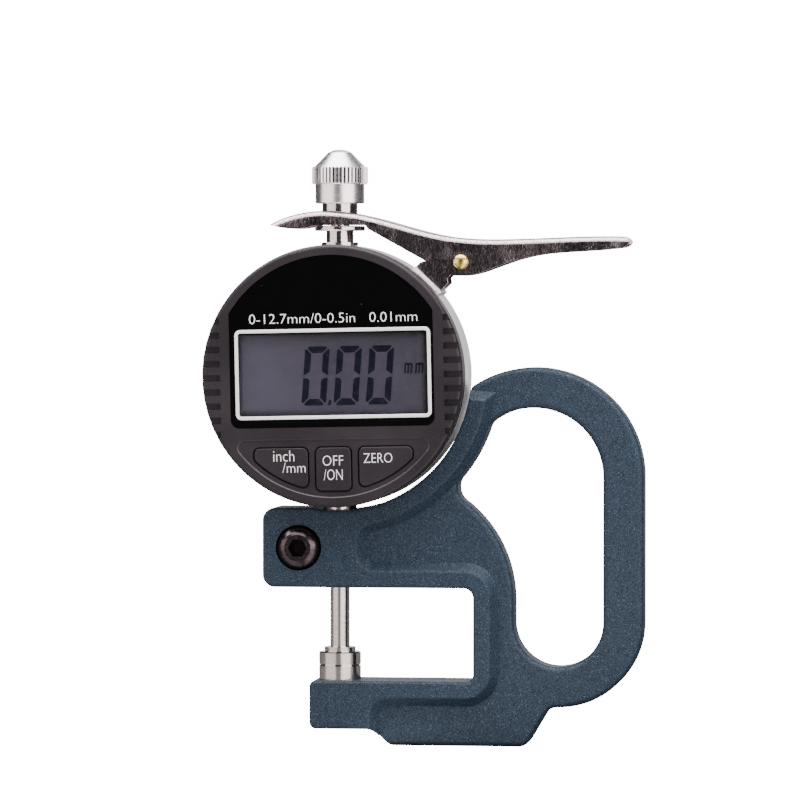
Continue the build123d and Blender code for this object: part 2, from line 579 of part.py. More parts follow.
def make_indicator_case():
    """Round metal case with a front wall, a spigot for the turning face, and bosses inside."""
    case = barrel(0, HEAD_Z, CASE_RADIUS, CASE_FRONT_Y, CASE_BACK)
    case = fillet(edges_at(case, CASE_BACK), BEZEL_EDGE)
    case -= barrel(0, HEAD_Z, CASE_INNER, WEB_BACK_Y, CASE_BACK + 1)
    half = CASE_BOSS_WIDTH / 2
    ring = disc_xz(0, HEAD_Z, CASE_INNER + CASE_WALL / 2)
    bosses = box_xz(-half, HEAD_Z - CASE_RADIUS, half, STEM_TOP)
    bosses += box_xz(-half, BUSHING_BOTTOM, half, HEAD_Z + CASE_RADIUS)
    for x, z in cover_screw_places():
        bosses += disc_xz(x, z, POST_DIAMETER / 2)
    case += slab(bosses & ring, WEB_BACK_Y, CASE_BACK)
    for bottom in rod_lugs():
        case += block(GUIDE_ROD_OFFSET - LUG_SIZE / 2, WEB_BACK_Y, bottom,
                      GUIDE_ROD_OFFSET + LUG_SIZE / 2, LUG_SIZE / 2, bottom + LUG_HEIGHT)
    for height in board_screw_heights():
        case += block(-half + 1, WEB_BACK_Y, height - BOARD_SCREW_INSET, half - 1, BOARD_FRONT_Y,
                      height + BOARD_SCREW_INSET)
    case += barrel(0, HEAD_Z, SPIGOT_RADIUS, CASE_FRONT_Y - SPIGOT_LENGTH, CASE_FRONT_Y)
    case -= barrel(0, HEAD_Z, SPIGOT_RADIUS - SPIGOT_WALL, CASE_FRONT_Y - SPIGOT_LENGTH - 1, CASE_FRONT_Y)
    case -= wire_ring(SPIGOT_RADIUS - WIRE_SIZE / 2, SPIGOT_RADIUS + 1, WIRE_SIZE / 2 + RUNNING_GAP)
    case -= barrel(0, HEAD_Z, CASE_WEB_HOLE, CASE_FRONT_Y - 1, WEB_BACK_Y)
    case -= block(-half, CASE_FRONT_Y - 1, CASE_TOP, half, CASE_BACK + 1, CASE_TOP + half)
    case -= bracket_frame() * Box(2 * BRACKET_LENGTH, 2 * CASE_RADIUS, CASE_WALL,
                                  align=(Align.CENTER, Align.CENTER, Align.MIN))
    case -= rod(STEM_DIAMETER / 2 + PRESS_GAP, ARM_TOP, STEM_TOP + 1)
    case -= rod(BUSHING_DIAMETER / 2 + PRESS_GAP, BUSHING_BOTTOM - 1, CASE_TOP + 1)
    case -= rod(GUIDE_ROD_DIAMETER / 2 + PRESS_GAP, rod_lugs()[0], rod_lugs()[1] + LUG_HEIGHT, GUIDE_ROD_OFFSET)
    for x, z in cover_screw_places():
        case -= barrel(x, z, COVER_SCREW_DIAMETER / 2 + PRESS_GAP, CASE_BACK - COVER_SCREW_LENGTH, CASE_BACK + 1)
    for height in board_screw_heights():
        case -= barrel(0, height, BOARD_SCREW_DIAMETER / 2 + PRESS_GAP, CASE_FRONT_Y + 0.5, BOARD_FRONT_Y + 1)
    for along in (-BRACKET_SCREW_SPACING / 2, BRACKET_SCREW_SPACING / 2):
        case -= bracket_frame() * Pos(along, 0, -CASE_WALL / 2 - BRACKET_FLAT) * Cylinder(
            BRACKET_SCREW_DIAMETER / 2 + PRESS_GAP, 2 * CASE_WALL, align=(Align.CENTER, Align.CENTER, Align.MIN))
    return case


def wire_ring(inner, outer, half_width):
    """Flat ring about the head, in the plane of the retaining wire."""
    ring = disc_xz(0, HEAD_Z, outer) - disc_xz(0, HEAD_Z, inner)
    return slab(ring, WIRE_Y - half_width, WIRE_Y + half_width)


def make_retaining_wire():
    """Split wire ring that keeps the turning face on the case."""
    wire = wire_ring(SPIGOT_RADIUS - WIRE_SIZE / 2 + RUNNING_GAP, SPIGOT_RADIUS + WIRE_SIZE / 2, WIRE_SIZE / 2)
    gap = 2 * SPIGOT_RADIUS * math.sin(math.radians(WIRE_GAP_ANGLE / 2))
    return wire - block(-gap / 2, WIRE_Y - 1, HEAD_Z - 2 * SPIGOT_RADIUS, gap / 2, WIRE_Y + 1, HEAD_Z)


def make_stem():
    """Clamping tube of the indicator, pressed into the bottom of the case."""
    stem = rod(STEM_DIAMETER / 2, STEM_BOTTOM, STEM_TOP)
    stem = chamfer(stem.edges().sort_by(Axis.Z)[0], CONTACT_EDGE)
    stem -= rod(STEM_BORE / 2, STEM_BOTTOM - 1, STEM_TOP + 1)
    return stem - rod(GUIDE_BUSH_DIAMETER / 2 + PRESS_GAP, STEM_BOTTOM - 1, STEM_BOTTOM + GUIDE_BUSH_LENGTH)


def make_lower_guide_bush():
    """Plain bush at the mouth of the stem that guides the spindle."""
    bush = rod(GUIDE_BUSH_DIAMETER / 2, STEM_BOTTOM, STEM_BOTTOM + GUIDE_BUSH_LENGTH)
    return bush - rod(SPINDLE_DIAMETER / 2 + RUNNING_GAP, STEM_BOTTOM - 1, STEM_TOP)


def make_upper_bushing():
    """Turned guide at the top of the case, with a shoulder on the case."""
    tube = rod(BUSHING_DIAMETER / 2, BUSHING_BOTTOM, COLLAR_TOP)
    tube += rod(BUSHING_SHOULDER_DIAMETER / 2, CASE_TOP, CASE_TOP + BUSHING_SHOULDER_HEIGHT)
    return tube - rod(SPINDLE_DIAMETER / 2 + RUNNING_GAP, BUSHING_BOTTOM - 1, COLLAR_TOP + 1)


def make_stop_collar():
    """Round collar on top of the bushing, under the lever's fork."""
    collar = rod(STOP_COLLAR_DIAMETER / 2, COLLAR_BOTTOM, COLLAR_TOP)
    collar = chamfer(collar.edges().filter_by(GeomType.CIRCLE), CONTACT_EDGE)
    return collar - rod(BUSHING_DIAMETER / 2 + PRESS_GAP, COLLAR_BOTTOM - 1, COLLAR_TOP + 1)


def make_sensor_board():
    """Fixed circuit board with the sensing electrodes."""
    board = block(-BOARD_WIDTH / 2, BOARD_FRONT_Y, HEAD_Z - BOARD_BELOW, BOARD_WIDTH / 2, BOARD_BACK_Y,
                  HEAD_Z + BOARD_ABOVE)
    for height in board_screw_heights():
        board -= barrel(0, height, BOARD_SCREW_DIAMETER / 2 + EASY_GAP / 2, BOARD_FRONT_Y - 1, BOARD_BACK_Y + 1)
    return board


def pan_screw(x, z, radius, head_radius, seat, head, length):
    """Screw along Y with a flat head behind its seat, as the back of the gauge shows it."""
    screw = barrel(x, z, head_radius, seat, seat + head)
    screw = chamfer(edges_at(screw, seat + head), head / 4)
    screw += barrel(x, z, radius, seat - length, seat)
    return screw - block(x - head_radius, seat + head / 2, z - head / 4, x + head_radius, seat + 2 * head, z + head / 4)


def make_sensor_board_screws():
    """Two screws that hold the sensor board on its pads."""
    screws = []
    for height in board_screw_heights():
        screws.append(pan_screw(0, height, BOARD_SCREW_DIAMETER / 2, BOARD_SCREW_DIAMETER * 0.9,
                                BOARD_BACK_Y, BOARD_THICKNESS * 0.9, BOARD_THICKNESS + BOARD_PAD))
    return screws


def make_guide_rod():
    """Rod beside the spindle that keeps the slider from turning."""
    low, high = rod_lugs()
    return rod(GUIDE_ROD_DIAMETER / 2, low, high + LUG_HEIGHT, GUIDE_ROD_OFFSET)


def make_return_spring():
    """Coil spring between the slider and the upper bushing."""
    wire = SPRING_WIRE
    bottom = SLIDER_TOP + wire / 2 + PRESS_GAP
    top = BUSHING_BOTTOM - wire / 2 - PRESS_GAP
    coil = Pos(0, 0, bottom) * Helix(pitch=(top - bottom) / SPRING_TURNS, height=top - bottom,
                                     radius=SPRING_DIAMETER / 2)
    section = Plane(origin=coil @ 0, z_dir=coil % 0) * Circle(wire / 2)
    return sweep(section, path=coil)


def battery_x():
    """The battery sits to the left of the spindle."""
    return -BATTERY_OFFSET


def make_back_cover():
    """Round cover with the battery opening and four countersunk screw holes."""
    cover = barrel(0, HEAD_Z, COVER_RADIUS, CASE_BACK, COVER_BACK_Y)
    cover = chamfer(edges_at(cover, COVER_BACK_Y), COVER_EDGE)
    x = battery_x()
    cap = CAP_DIAMETER / 2
    cover -= barrel(x, HEAD_Z, cap + EASY_GAP / 2, CAP_FRONT_Y, COVER_BACK_Y + 1)
    cover -= barrel(x, HEAD_Z, cap - TRAY_LIP, CASE_BACK - 1, COVER_BACK_Y)
    for px, pz in cover_screw_places():
        cover -= barrel(px, pz, COVER_SCREW_DIAMETER / 2 + EASY_GAP / 2, CASE_BACK - 1, COVER_BACK_Y + 1)
        cover -= barrel(px, pz, COVER_SCREW_DIAMETER + EASY_GAP / 2, COVER_BACK_Y - 1, COVER_BACK_Y + 1)
    return cover


def make_back_cover_screws():
    """Four screws of the back cover, with their heads sunk flush."""
    screws = []
    for x, z in cover_screw_places():
        screws.append(pan_screw(x, z, COVER_SCREW_DIAMETER / 2, COVER_SCREW_DIAMETER, COVER_BACK_Y - 1,
                                0.9, COVER_THICKNESS - 1 + COVER_SCREW_LENGTH - 1))
    return screws


def make_battery_tray():
    """Cup behind the cover that holds the coin cell."""
    x = battery_x()
    inner = BATTERY_DIAMETER / 2 + BATTERY_GAP
    tray = barrel(x, HEAD_Z, inner + TRAY_WALL, TRAY_FRONT_Y, CASE_BACK)
    return tray - barrel(x, HEAD_Z, inner, TRAY_FRONT_Y + TRAY_FLOOR, CASE_BACK + 1)


def make_battery_contact():
    """Thin metal disc under the coin cell."""
    return barrel(battery_x(), HEAD_Z, BATTERY_DIAMETER / 4, TRAY_FRONT_Y + TRAY_FLOOR,
                  TRAY_FRONT_Y + TRAY_FLOOR + CONTACT_SPRING_THICKNESS)


def make_battery():
    """Coin cell with its smaller negative side to the front."""
    step = BATTERY_THICKNESS / 4
    cell = barrel(battery_x(), HEAD_Z, BATTERY_DIAMETER / 2, BATTERY_FRONT_Y + step, BATTERY_BACK_Y)
    return cell + barrel(battery_x(), HEAD_Z, BATTERY_DIAMETER * 0.44, BATTERY_FRONT_Y, BATTERY_FRONT_Y + step)


def make_battery_cap():
    """Coin-slotted cap that closes the battery opening."""
    x = battery_x()
    cap = barrel(x, HEAD_Z, CAP_DIAMETER / 2 - TRAY_LIP - EASY_GAP / 2, CAP_FRONT_Y, CAP_BACK_Y)
    cap += barrel(x, HEAD_Z, CAP_DIAMETER / 2, CAP_FRONT_Y, CAP_BACK_Y)
    return cap - block(x - CAP_SLOT_LENGTH / 2, CAP_BACK_Y - CAP_SLOT_DEPTH, HEAD_Z - CAP_SLOT_WIDTH / 2,
                       x + CAP_SLOT_LENGTH / 2, CAP_BACK_Y + 1, HEAD_Z + CAP_SLOT_WIDTH / 2)


# Spindle and what moves with it

def make_spindle():
    """Straight spindle with a threaded stud on top and a tapped hole below."""
    spindle = rod(SPINDLE_DIAMETER / 2, SPINDLE_BOTTOM, CAP_BOTTOM)
    spindle += rod(CAP_THREAD_DIAMETER / 2, CAP_BOTTOM, CAP_BOTTOM + CAP_THREAD_LENGTH)
    return spindle - rod(CONTACT_THREAD_DIAMETER / 2 + PRESS_GAP, SPINDLE_BOTTOM - 1,
                         SPINDLE_BOTTOM + CONTACT_THREAD_LENGTH + EASY_GAP)


def make_contact_disc():
    """Moving contact: flat disc, collar and stud."""
    radius = CONTACT_DIAMETER / 2
    collar = CONTACT_COLLAR_DIAMETER / 2
    stud = CONTACT_THREAD_DIAMETER / 2
    top = SPINDLE_BOTTOM + CONTACT_THREAD_LENGTH
    return turned([(0, 0), (radius - CONTACT_EDGE, 0), (radius, CONTACT_EDGE),
                   (radius, CONTACT_HEIGHT - CONTACT_EDGE), (radius - CONTACT_EDGE, CONTACT_HEIGHT),
                   (collar, CONTACT_HEIGHT), (collar, SPINDLE_BOTTOM), (stud, SPINDLE_BOTTOM),
                   (stud, top), (0, top)])


def make_sensor_slider():
    """Block clamped on the spindle, with a fork round the guide rod."""
    half = SLIDER_WIDTH / 2
    middle = (SLIDER_BOTTOM + SLIDER_TOP) / 2
    arm = SLIDER_ARM_THICKNESS / 2
    slider = block(-half, SLIDER_FRONT_Y, SLIDER_BOTTOM, half, SLIDER_BACK, SLIDER_TOP)
    slider += block(0, -arm, middle - SLIDER_ARM_HEIGHT / 2, SLIDER_ARM_REACH, arm, middle + SLIDER_ARM_HEIGHT / 2)
    slot = GUIDE_ROD_DIAMETER / 2 + RUNNING_GAP
    slider -= block(GUIDE_ROD_OFFSET - slot, -slot, SLIDER_BOTTOM, SLIDER_ARM_REACH + 1, slot, SLIDER_TOP)
    slider -= rod(SPINDLE_DIAMETER / 2 + PRESS_GAP, SLIDER_BOTTOM - 1, SLIDER_TOP + 1)
    hole = Pos(-half - 1, 0, middle) * Rot(0, 90, 0) * Cylinder(
        SLIDER_SCREW_DIAMETER / 2 + PRESS_GAP, half + 1, align=(Align.CENTER, Align.CENTER, Align.MIN))
    return slider - hole


def make_slider_screw():
    """Set screw that locks the slider on the spindle."""
    half = SLIDER_WIDTH / 2
    start = -half + EASY_GAP
    end = -SPINDLE_DIAMETER / 2 - PRESS_GAP
    screw = Pos(start, 0, (SLIDER_BOTTOM + SLIDER_TOP) / 2) * Rot(0, 90, 0) * Cylinder(
        SLIDER_SCREW_DIAMETER / 2, end - start - EASY_GAP, align=(Align.CENTER, Align.CENTER, Align.MIN))
    return screw


def make_scale_plate():
    """Thin electrode plate on the front of the slider."""
    half = SLIDER_WIDTH / 2
    return block(-half, SCALE_FRONT_Y, SLIDER_BOTTOM, half, SLIDER_FRONT_Y, SLIDER_TOP)


def make_cap_neck():
    """Plain sleeve under the lifting cap that passes through the lever's fork."""
    neck = rod(NECK_DIAMETER / 2, NECK_BOTTOM, CAP_BOTTOM)
    return neck - rod(SPINDLE_DIAMETER / 2 + PRESS_GAP, NECK_BOTTOM - 1, CAP_BOTTOM + 1)


def knurl_outline():
    """Round outline with straight V-shaped flutes."""
    outer = KNURL_DIAMETER / 2
    inner = outer - KNURL_DEPTH
    points = []
    for tooth in range(KNURL_TEETH):
        for share, radius in ((0.0, inner), (0.35, outer), (0.65, outer)):
            turn = 2 * math.pi * (tooth + share) / KNURL_TEETH
            points.append((radius * math.cos(turn), radius * math.sin(turn)))
    return make_face(Polyline(*points, close=True))


def make_lifting_cap():
    """Knurled knob on top of the spindle, bored from below for the stud."""
    knurl_bottom = CAP_BOTTOM + CAP_STEM_HEIGHT
    knurl_top = knurl_bottom + KNURL_HEIGHT
    cone_top = knurl_top + CAP_CONE_HEIGHT
    dome_top = cone_top + CAP_DOME_HEIGHT
    bore_top = CAP_BOTTOM + CAP_THREAD_LENGTH + EASY_GAP
    stem = CAP_STEM_DIAMETER / 2
    bore = CAP_THREAD_DIAMETER / 2 + PRESS_GAP
    top = CAP_TOP_DIAMETER / 2
    outer = KNURL_DIAMETER / 2
    foot = outer - KNURL_DEPTH - KNURL_EDGE
    profile = Polyline((0, dome_top), (0, bore_top), (bore, bore_top), (bore, CAP_BOTTOM),
                       (stem - CONTACT_EDGE, CAP_BOTTOM), (stem, CAP_BOTTOM + CONTACT_EDGE),
                       (stem, knurl_top - KNURL_EDGE), (foot, knurl_top - KNURL_EDGE), (foot, knurl_top),
                       (top, cone_top))
    dome_radius = (top ** 2 + CAP_DOME_HEIGHT ** 2) / (2 * CAP_DOME_HEIGHT)
    half_turn = math.asin(top / dome_radius) / 2
    crest = (dome_radius * math.sin(half_turn), dome_top - dome_radius * (1 - math.cos(half_turn)))
    profile += ThreePointArc((top, cone_top), crest, (0, dome_top))
    body = revolve(Plane.XZ * make_face(profile), Axis.Z)
    over = KNURL_EDGE + 1
    limit = turned([(bore * 2, knurl_bottom), (outer - KNURL_EDGE, knurl_bottom), (outer + 1, knurl_bottom + over),
                    (outer + 1, knurl_top - over), (outer - KNURL_EDGE, knurl_top), (bore * 2, knurl_top)])
    band = Pos(0, 0, knurl_bottom) * extrude(knurl_outline(), amount=KNURL_HEIGHT)
    return body + (band & limit)


# Lifting lever, its bracket and its pin

def lever_outline():
    """Side view of the pressed lever: the fork is laid out from the spindle, the thumb end from the pin."""
    fork_foot = COLLAR_TOP + LEVER_COLLAR_GAP
    tip = (-LEVER_FORK_REACH, COLLAR_TOP + LEVER_FORK_RISE)
    hump = (0, COLLAR_TOP + LEVER_HUMP_RISE)
    thumb = from_pin((LEVER_THUMB_REACH, LEVER_THUMB_RISE))
    under_thumb = from_pin((LEVER_THUMB_REACH, LEVER_THUMB_RISE - LEVER_THUMB_DEPTH))
    nose = from_pin((LEVER_THUMB_REACH + LEVER_THUMB_LIP, LEVER_THUMB_RISE - LEVER_THUMB_DEPTH / 2))
    crest = Spline(tip, hump, from_pin(LEVER_SHOULDER), from_pin(LEVER_NECK), from_pin(LEVER_WAIST), thumb)
    end = Spline(thumb, nose, under_thumb)
    belly = Spline(under_thumb, from_pin(LEVER_BELLY_FRONT), from_pin(LEVER_BELLY_BACK),
                   from_pin(LEVER_BELLY_SIDE), from_pin(LEVER_BELLY_LOW), from_pin(LEVER_BELLY_END))
    collar_side = STOP_COLLAR_DIAMETER / 2 + LEVER_COLLAR_SIDE_GAP
    knee = (collar_side + LEVER_KNEE_RUN, fork_foot - LEVER_KNEE_DROP)
    slope = Line(from_pin(LEVER_BELLY_END), knee) + Line(knee, (collar_side, fork_foot))
    heel = (-STOP_COLLAR_DIAMETER * 0.4, fork_foot)
    foot = Line((collar_side, fork_foot), heel)
    hollow = (LEVER_FORK_HOLLOW[0], COLLAR_TOP + LEVER_FORK_HOLLOW[1])
    return make_face(crest + end + belly + slope + foot + Spline(heel, hollow, tip))


def from_pin(place):
    """Point given from the lever's pin, as (x, z)."""
    return LEVER_PIVOT_X + place[0], LEVER_PIVOT_Z + place[1]


def make_lift_lever():
    """Pressed channel, open below, with a fork round the neck and a hole for the pin."""
    half = LEVER_WIDTH / 2
    outline = lever_outline()
    lever = slab(outline, -half, half)
    crest = sorted(edges_at(lever, -half, half), key=lambda e: e.length)[-2:]
    lever = fillet(crest, LEVER_EDGE)
    hollow = slab(Pos(0, -LEVER_WALL) * outline, -half + LEVER_WALL, half - LEVER_WALL)
    hollow += slab(Pos(0, -2 * LEVER_WALL) * outline, -half + LEVER_WALL, half - LEVER_WALL)
    hollow += slab(Pos(0, -4 * LEVER_WALL) * outline, -half + LEVER_WALL, half - LEVER_WALL)
    lever -= hollow
    fork = box_xz(-2 * LEVER_PIVOT_X, LEVER_PIVOT_Z, LEVER_FORK_END - LEVER_FORK_WIDTH / 2, CAP_BOTTOM)
    lever -= slab(fork, -LEVER_FORK_WIDTH / 2, LEVER_FORK_WIDTH / 2)
    lever -= rod(LEVER_FORK_WIDTH / 2, LEVER_PIVOT_Z, CAP_BOTTOM, LEVER_FORK_END - LEVER_FORK_WIDTH / 2)
    return lever - barrel(LEVER_PIVOT_X, LEVER_PIVOT_Z, PIVOT_DIAMETER / 2 + RUNNING_GAP, -half - 1, half + 1)


def make_lever_bracket():
    """Sheet bracket: a base plate on the rim of the case and two ears for the pin."""
    half = LEVER_WIDTH / 2 - LEVER_WALL - BRACKET_SIDE_GAP
    frame = bracket_frame()
    base = frame * Box(BRACKET_LENGTH, 2 * half, BRACKET_PLATE, align=(Align.CENTER, Align.CENTER, Align.MIN))
    out = math.radians(BRACKET_ANGLE)
    foot_x, foot_z = at_head(BRACKET_ANGLE, CASE_RADIUS - BRACKET_FLAT)
    along = (math.sin(out), -math.cos(out))
    ends = []
    for side in (-1, 1):
        ends.append((foot_x + side * BRACKET_LENGTH / 2 * along[0], foot_z + side * BRACKET_LENGTH / 2 * along[1]))
    shoulder = (ends[0][0] + BRACKET_SIDE_HEIGHT * math.cos(out), ends[0][1] + BRACKET_SIDE_HEIGHT * math.sin(out))
    waist = from_pin((-BRACKET_EAR_RADIUS, -BRACKET_EAR_RADIUS))
    side_view = disc_xz(LEVER_PIVOT_X, LEVER_PIVOT_Z, BRACKET_EAR_RADIUS) + make_face(Polyline(
        ends[0], ends[1], waist, from_pin((0, 0)), from_pin((0, BRACKET_EAR_RADIUS)), shoulder, close=True))
    ears = slab(side_view, -half, -half + BRACKET_SHEET) + slab(side_view, half - BRACKET_SHEET, half)
    bracket = base + ears
    bracket -= barrel(LEVER_PIVOT_X, LEVER_PIVOT_Z, PIVOT_DIAMETER / 2 + PRESS_GAP, -half - 1, half + 1)
    for place in (-BRACKET_SCREW_SPACING / 2, BRACKET_SCREW_SPACING / 2):
        bracket -= frame * Pos(place, 0, 0) * Cylinder(BRACKET_SCREW_DIAMETER / 2 + EASY_GAP / 2, 4 * BRACKET_PLATE)
    return bracket


def make_bracket_screws():
    """Two small screws that hold the bracket on the case."""
    screws = []
    for place in (-BRACKET_SCREW_SPACING / 2, BRACKET_SCREW_SPACING / 2):
        head = Pos(place, 0, BRACKET_PLATE) * Cylinder(BRACKET_SCREW_HEAD / 2, BRACKET_PLATE * 0.8,
                                                       align=(Align.CENTER, Align.CENTER, Align.MIN))
        shank = Pos(place, 0, -CASE_WALL / 2) * Cylinder(BRACKET_SCREW_DIAMETER / 2, CASE_WALL / 2 + BRACKET_PLATE,
                                                         align=(Align.CENTER, Align.CENTER, Align.MIN))
        screws.append(bracket_frame() * (head + shank))
    return screws


def make_pivot_pin():
    """Brass rivet through the bracket's ears and the lever's walls."""
    half = LEVER_WIDTH / 2 + RUNNING_GAP
    pin = barrel(LEVER_PIVOT_X, LEVER_PIVOT_Z, PIVOT_DIAMETER / 2, -half, half)
    for front, back in ((-half - PIVOT_HEAD_HEIGHT, -half), (half, half + PIVOT_HEAD_HEIGHT)):
        head = barrel(LEVER_PIVOT_X, LEVER_PIVOT_Z, PIVOT_HEAD_DIAMETER / 2, front, back)
        outside = front if front < 0 else back
        pin += fillet(edges_at(head, outside), PIVOT_HEAD_HEIGHT * 0.6)
    return pin


# Turning face

def on_face(shape):
    """Place what was drawn about the head's centre on the gauge, with the face's small turn."""
    return Pos(0, 0, HEAD_Z) * Rot(0, -FACE_TURN, 0) * shape


def panel_outline(gap=0.0):
    """Black panel: a disc cut off at both sides and below, with rounded lower corners."""
    half = PANEL_WIDTH / 2 - gap
    outline = Circle(PANEL_RADIUS - gap) & box_xz(-half, -PANEL_BOTTOM + gap, half, PANEL_RADIUS)
    return rounded(outline, [(-half, -PANEL_BOTTOM, PANEL_CORNER), (half, -PANEL_BOTTOM, PANEL_CORNER)])


def window_outline(grow=0.0):
    """Rounded rectangle of the display window."""
    return Pos(0, WINDOW_RISE) * RectangleRounded(WINDOW_WIDTH + 2 * grow, WINDOW_HEIGHT + 2 * grow,
                                                  WINDOW_CORNER + max(grow, 0))


def key_outline(side, grow=0.0):
    """Outline of one key: -1 is the left key, 1 the right one and 0 the middle one."""
    if side == 0:
        height = KEY_MIDDLE_BOTTOM - KEY_TOP
        return Pos(0, -(KEY_TOP + KEY_MIDDLE_BOTTOM) / 2) * RectangleRounded(
            KEY_MIDDLE_WIDTH + 2 * grow, height + 2 * grow, KEY_CORNER + grow)
    left = min(side * KEY_INNER, side * KEY_OUTER)
    right = max(side * KEY_INNER, side * KEY_OUTER)
    outline = box_xz(left, -KEY_RADIUS, right, -KEY_TOP) & Circle(KEY_RADIUS)
    outline = fillet(outline.vertices(), KEY_CORNER)
    return offset(outline, grow) if grow else outline


def key_field_outline():
    """Shallow field round the keys, with a flat top and the bezel's curve below."""
    field = box_xz(-KEY_FIELD_RADIUS, -KEY_FIELD_RADIUS, KEY_FIELD_RADIUS, -KEY_FIELD_TOP)
    field &= Circle(KEY_FIELD_RADIUS)
    return fillet(field.vertices(), KEY_FIELD_CORNER)


def display_post_places():
    """The four places where the display board is screwed, as (x, z)."""
    places = []
    for x, z in (DISPLAY_POST_TOP, DISPLAY_POST_SIDE):
        places += [(-x, z), (x, z)]
    return places


def make_bezel():
    """Moulded turning face: front plate, skirt over the case's spigot, grips, posts and openings."""
    bezel = slab(Circle(BEZEL_RADIUS), BEZEL_FRONT_Y, BEZEL_BACK_Y)
    bezel = fillet(edges_at(bezel, BEZEL_FRONT_Y), BEZEL_EDGE)
    bezel -= slab(Circle(SPIGOT_RADIUS + 2 * RUNNING_GAP), PLATE_BACK_Y, BEZEL_BACK_Y + 1)
    groove = Circle(SPIGOT_RADIUS + WIRE_SIZE / 2 + 2 * RUNNING_GAP)
    bezel -= slab(groove, WIRE_Y - WIRE_SIZE / 2 - RUNNING_GAP, WIRE_Y + WIRE_SIZE / 2 + RUNNING_GAP)
    bezel -= slab(panel_outline(), BEZEL_FRONT_Y - 1, PANEL_BACK_Y)
    bezel -= slab(window_outline(-WINDOW_LEDGE), BEZEL_FRONT_Y, PLATE_BACK_Y + 1)
    bezel -= slab(key_field_outline(), BEZEL_FRONT_Y - 1, BEZEL_FRONT_Y + KEY_FIELD_DEPTH)
    for side in (-1, 0, 1):
        bezel -= slab(key_outline(side, KEY_GAP), BEZEL_FRONT_Y - 1, PLATE_BACK_Y + 1)
    for x, z in display_post_places():
        bezel += barrel(x, z, DISPLAY_POST_DIAMETER / 2, PLATE_BACK_Y, DISPLAY_BOARD_Y)
        bezel -= barrel(x, z, DISPLAY_SCREW_DIAMETER / 2 + PRESS_GAP, PLATE_BACK_Y, DISPLAY_BOARD_Y + 1)
    grips = Part()
    for place in range(GRIP_COUNT):
        z = (place - (GRIP_COUNT - 1) / 2) * GRIP_PITCH
        for side in (-1, 1):
            inner = side * GRIP_INNER
            outer = side * (BEZEL_RADIUS + 1)
            grips += slab(box_xz(min(inner, outer), z - GRIP_WIDTH / 2, max(inner, outer), z + GRIP_WIDTH / 2),
                          BEZEL_FRONT_Y - 1, BEZEL_FRONT_Y + GRIP_DEPTH)
    return bezel - grips


def make_face_panel():
    """Black panel with the opening for the window."""
    return slab(panel_outline(PANEL_GAP) - window_outline(PANEL_GAP), PANEL_FRONT_Y, PANEL_BACK_Y)


def make_display_window():
    """Clear window that fills the panel's opening."""
    return slab(window_outline(), PANEL_FRONT_Y, PANEL_BACK_Y)


def lcd_outline():
    """Rectangle of the display glass."""
    return Pos(0, WINDOW_RISE) * Rectangle(WINDOW_WIDTH + 2 * LCD_MARGIN, WINDOW_HEIGHT + 2 * LCD_MARGIN)


def make_lcd():
    """Display glass behind the window."""
    return slab(lcd_outline(), LCD_FRONT_Y, LCD_BACK_Y)


def make_zebra_strips():
    """Two soft conductive strips between the display glass and its board."""
    half = WINDOW_WIDTH / 2
    strips = []
    for side in (-1, 1):
        z = WINDOW_RISE + side * (WINDOW_HEIGHT / 2 + LCD_MARGIN - ZEBRA_INSET)
        strips.append(slab(box_xz(-half, z - ZEBRA_WIDTH / 2, half, z + ZEBRA_WIDTH / 2), LCD_BACK_Y, DISPLAY_BOARD_Y))
    return strips


def make_display_board():
    """Round circuit board behind the display and the keypad."""
    board = slab(Circle(DISPLAY_BOARD_RADIUS), DISPLAY_BOARD_Y, DISPLAY_BOARD_BACK_Y)
    for x, z in display_post_places():
        board -= barrel(x, z, DISPLAY_SCREW_DIAMETER / 2 + EASY_GAP / 2, DISPLAY_BOARD_Y - 1, DISPLAY_BOARD_BACK_Y + 1)
    return board


def make_display_board_screws():
    """Four screws that hold the display board on the bezel's posts."""
    screws = []
    for x, z in display_post_places():
        screws.append(pan_screw(x, z, DISPLAY_SCREW_DIAMETER / 2, DISPLAY_SCREW_HEAD / 2, DISPLAY_BOARD_BACK_Y,
                                DISPLAY_SCREW_HEAD_HEIGHT, DISPLAY_BOARD_THICKNESS + DISPLAY_BOARD_SETBACK - EASY_GAP))
    return screws


def make_keypad_mat():
    """Soft contact mat under the three keys."""
    half = KEY_OUTER + KEYPAD_EDGE
    mat = box_xz(-half, -KEY_RADIUS, half, -KEY_TOP + KEYPAD_EDGE) & Circle(DISPLAY_BOARD_RADIUS - KEYPAD_EDGE)
    for x, z in display_post_places():
        mat -= disc_xz(x, z, DISPLAY_POST_DIAMETER / 2 + EASY_GAP)
    return slab(mat, KEYPAD_FRONT_Y, DISPLAY_BOARD_Y)


def make_key(side):
    """Key cap with a wider flange behind the bezel's plate."""
    cap = slab(key_outline(side), BEZEL_FRONT_Y - KEY_PROUD + KEY_FIELD_DEPTH, PLATE_BACK_Y + EASY_GAP)
    cap = fillet(edges_at(cap, BEZEL_FRONT_Y - KEY_PROUD + KEY_FIELD_DEPTH), KEY_PROUD * 1.5)
    back = KEYPAD_FRONT_Y - KEY_TRAVEL - RUNNING_GAP
    return cap + slab(key_outline(side, KEY_FLANGE), back - KEY_FLANGE_THICKNESS, back)


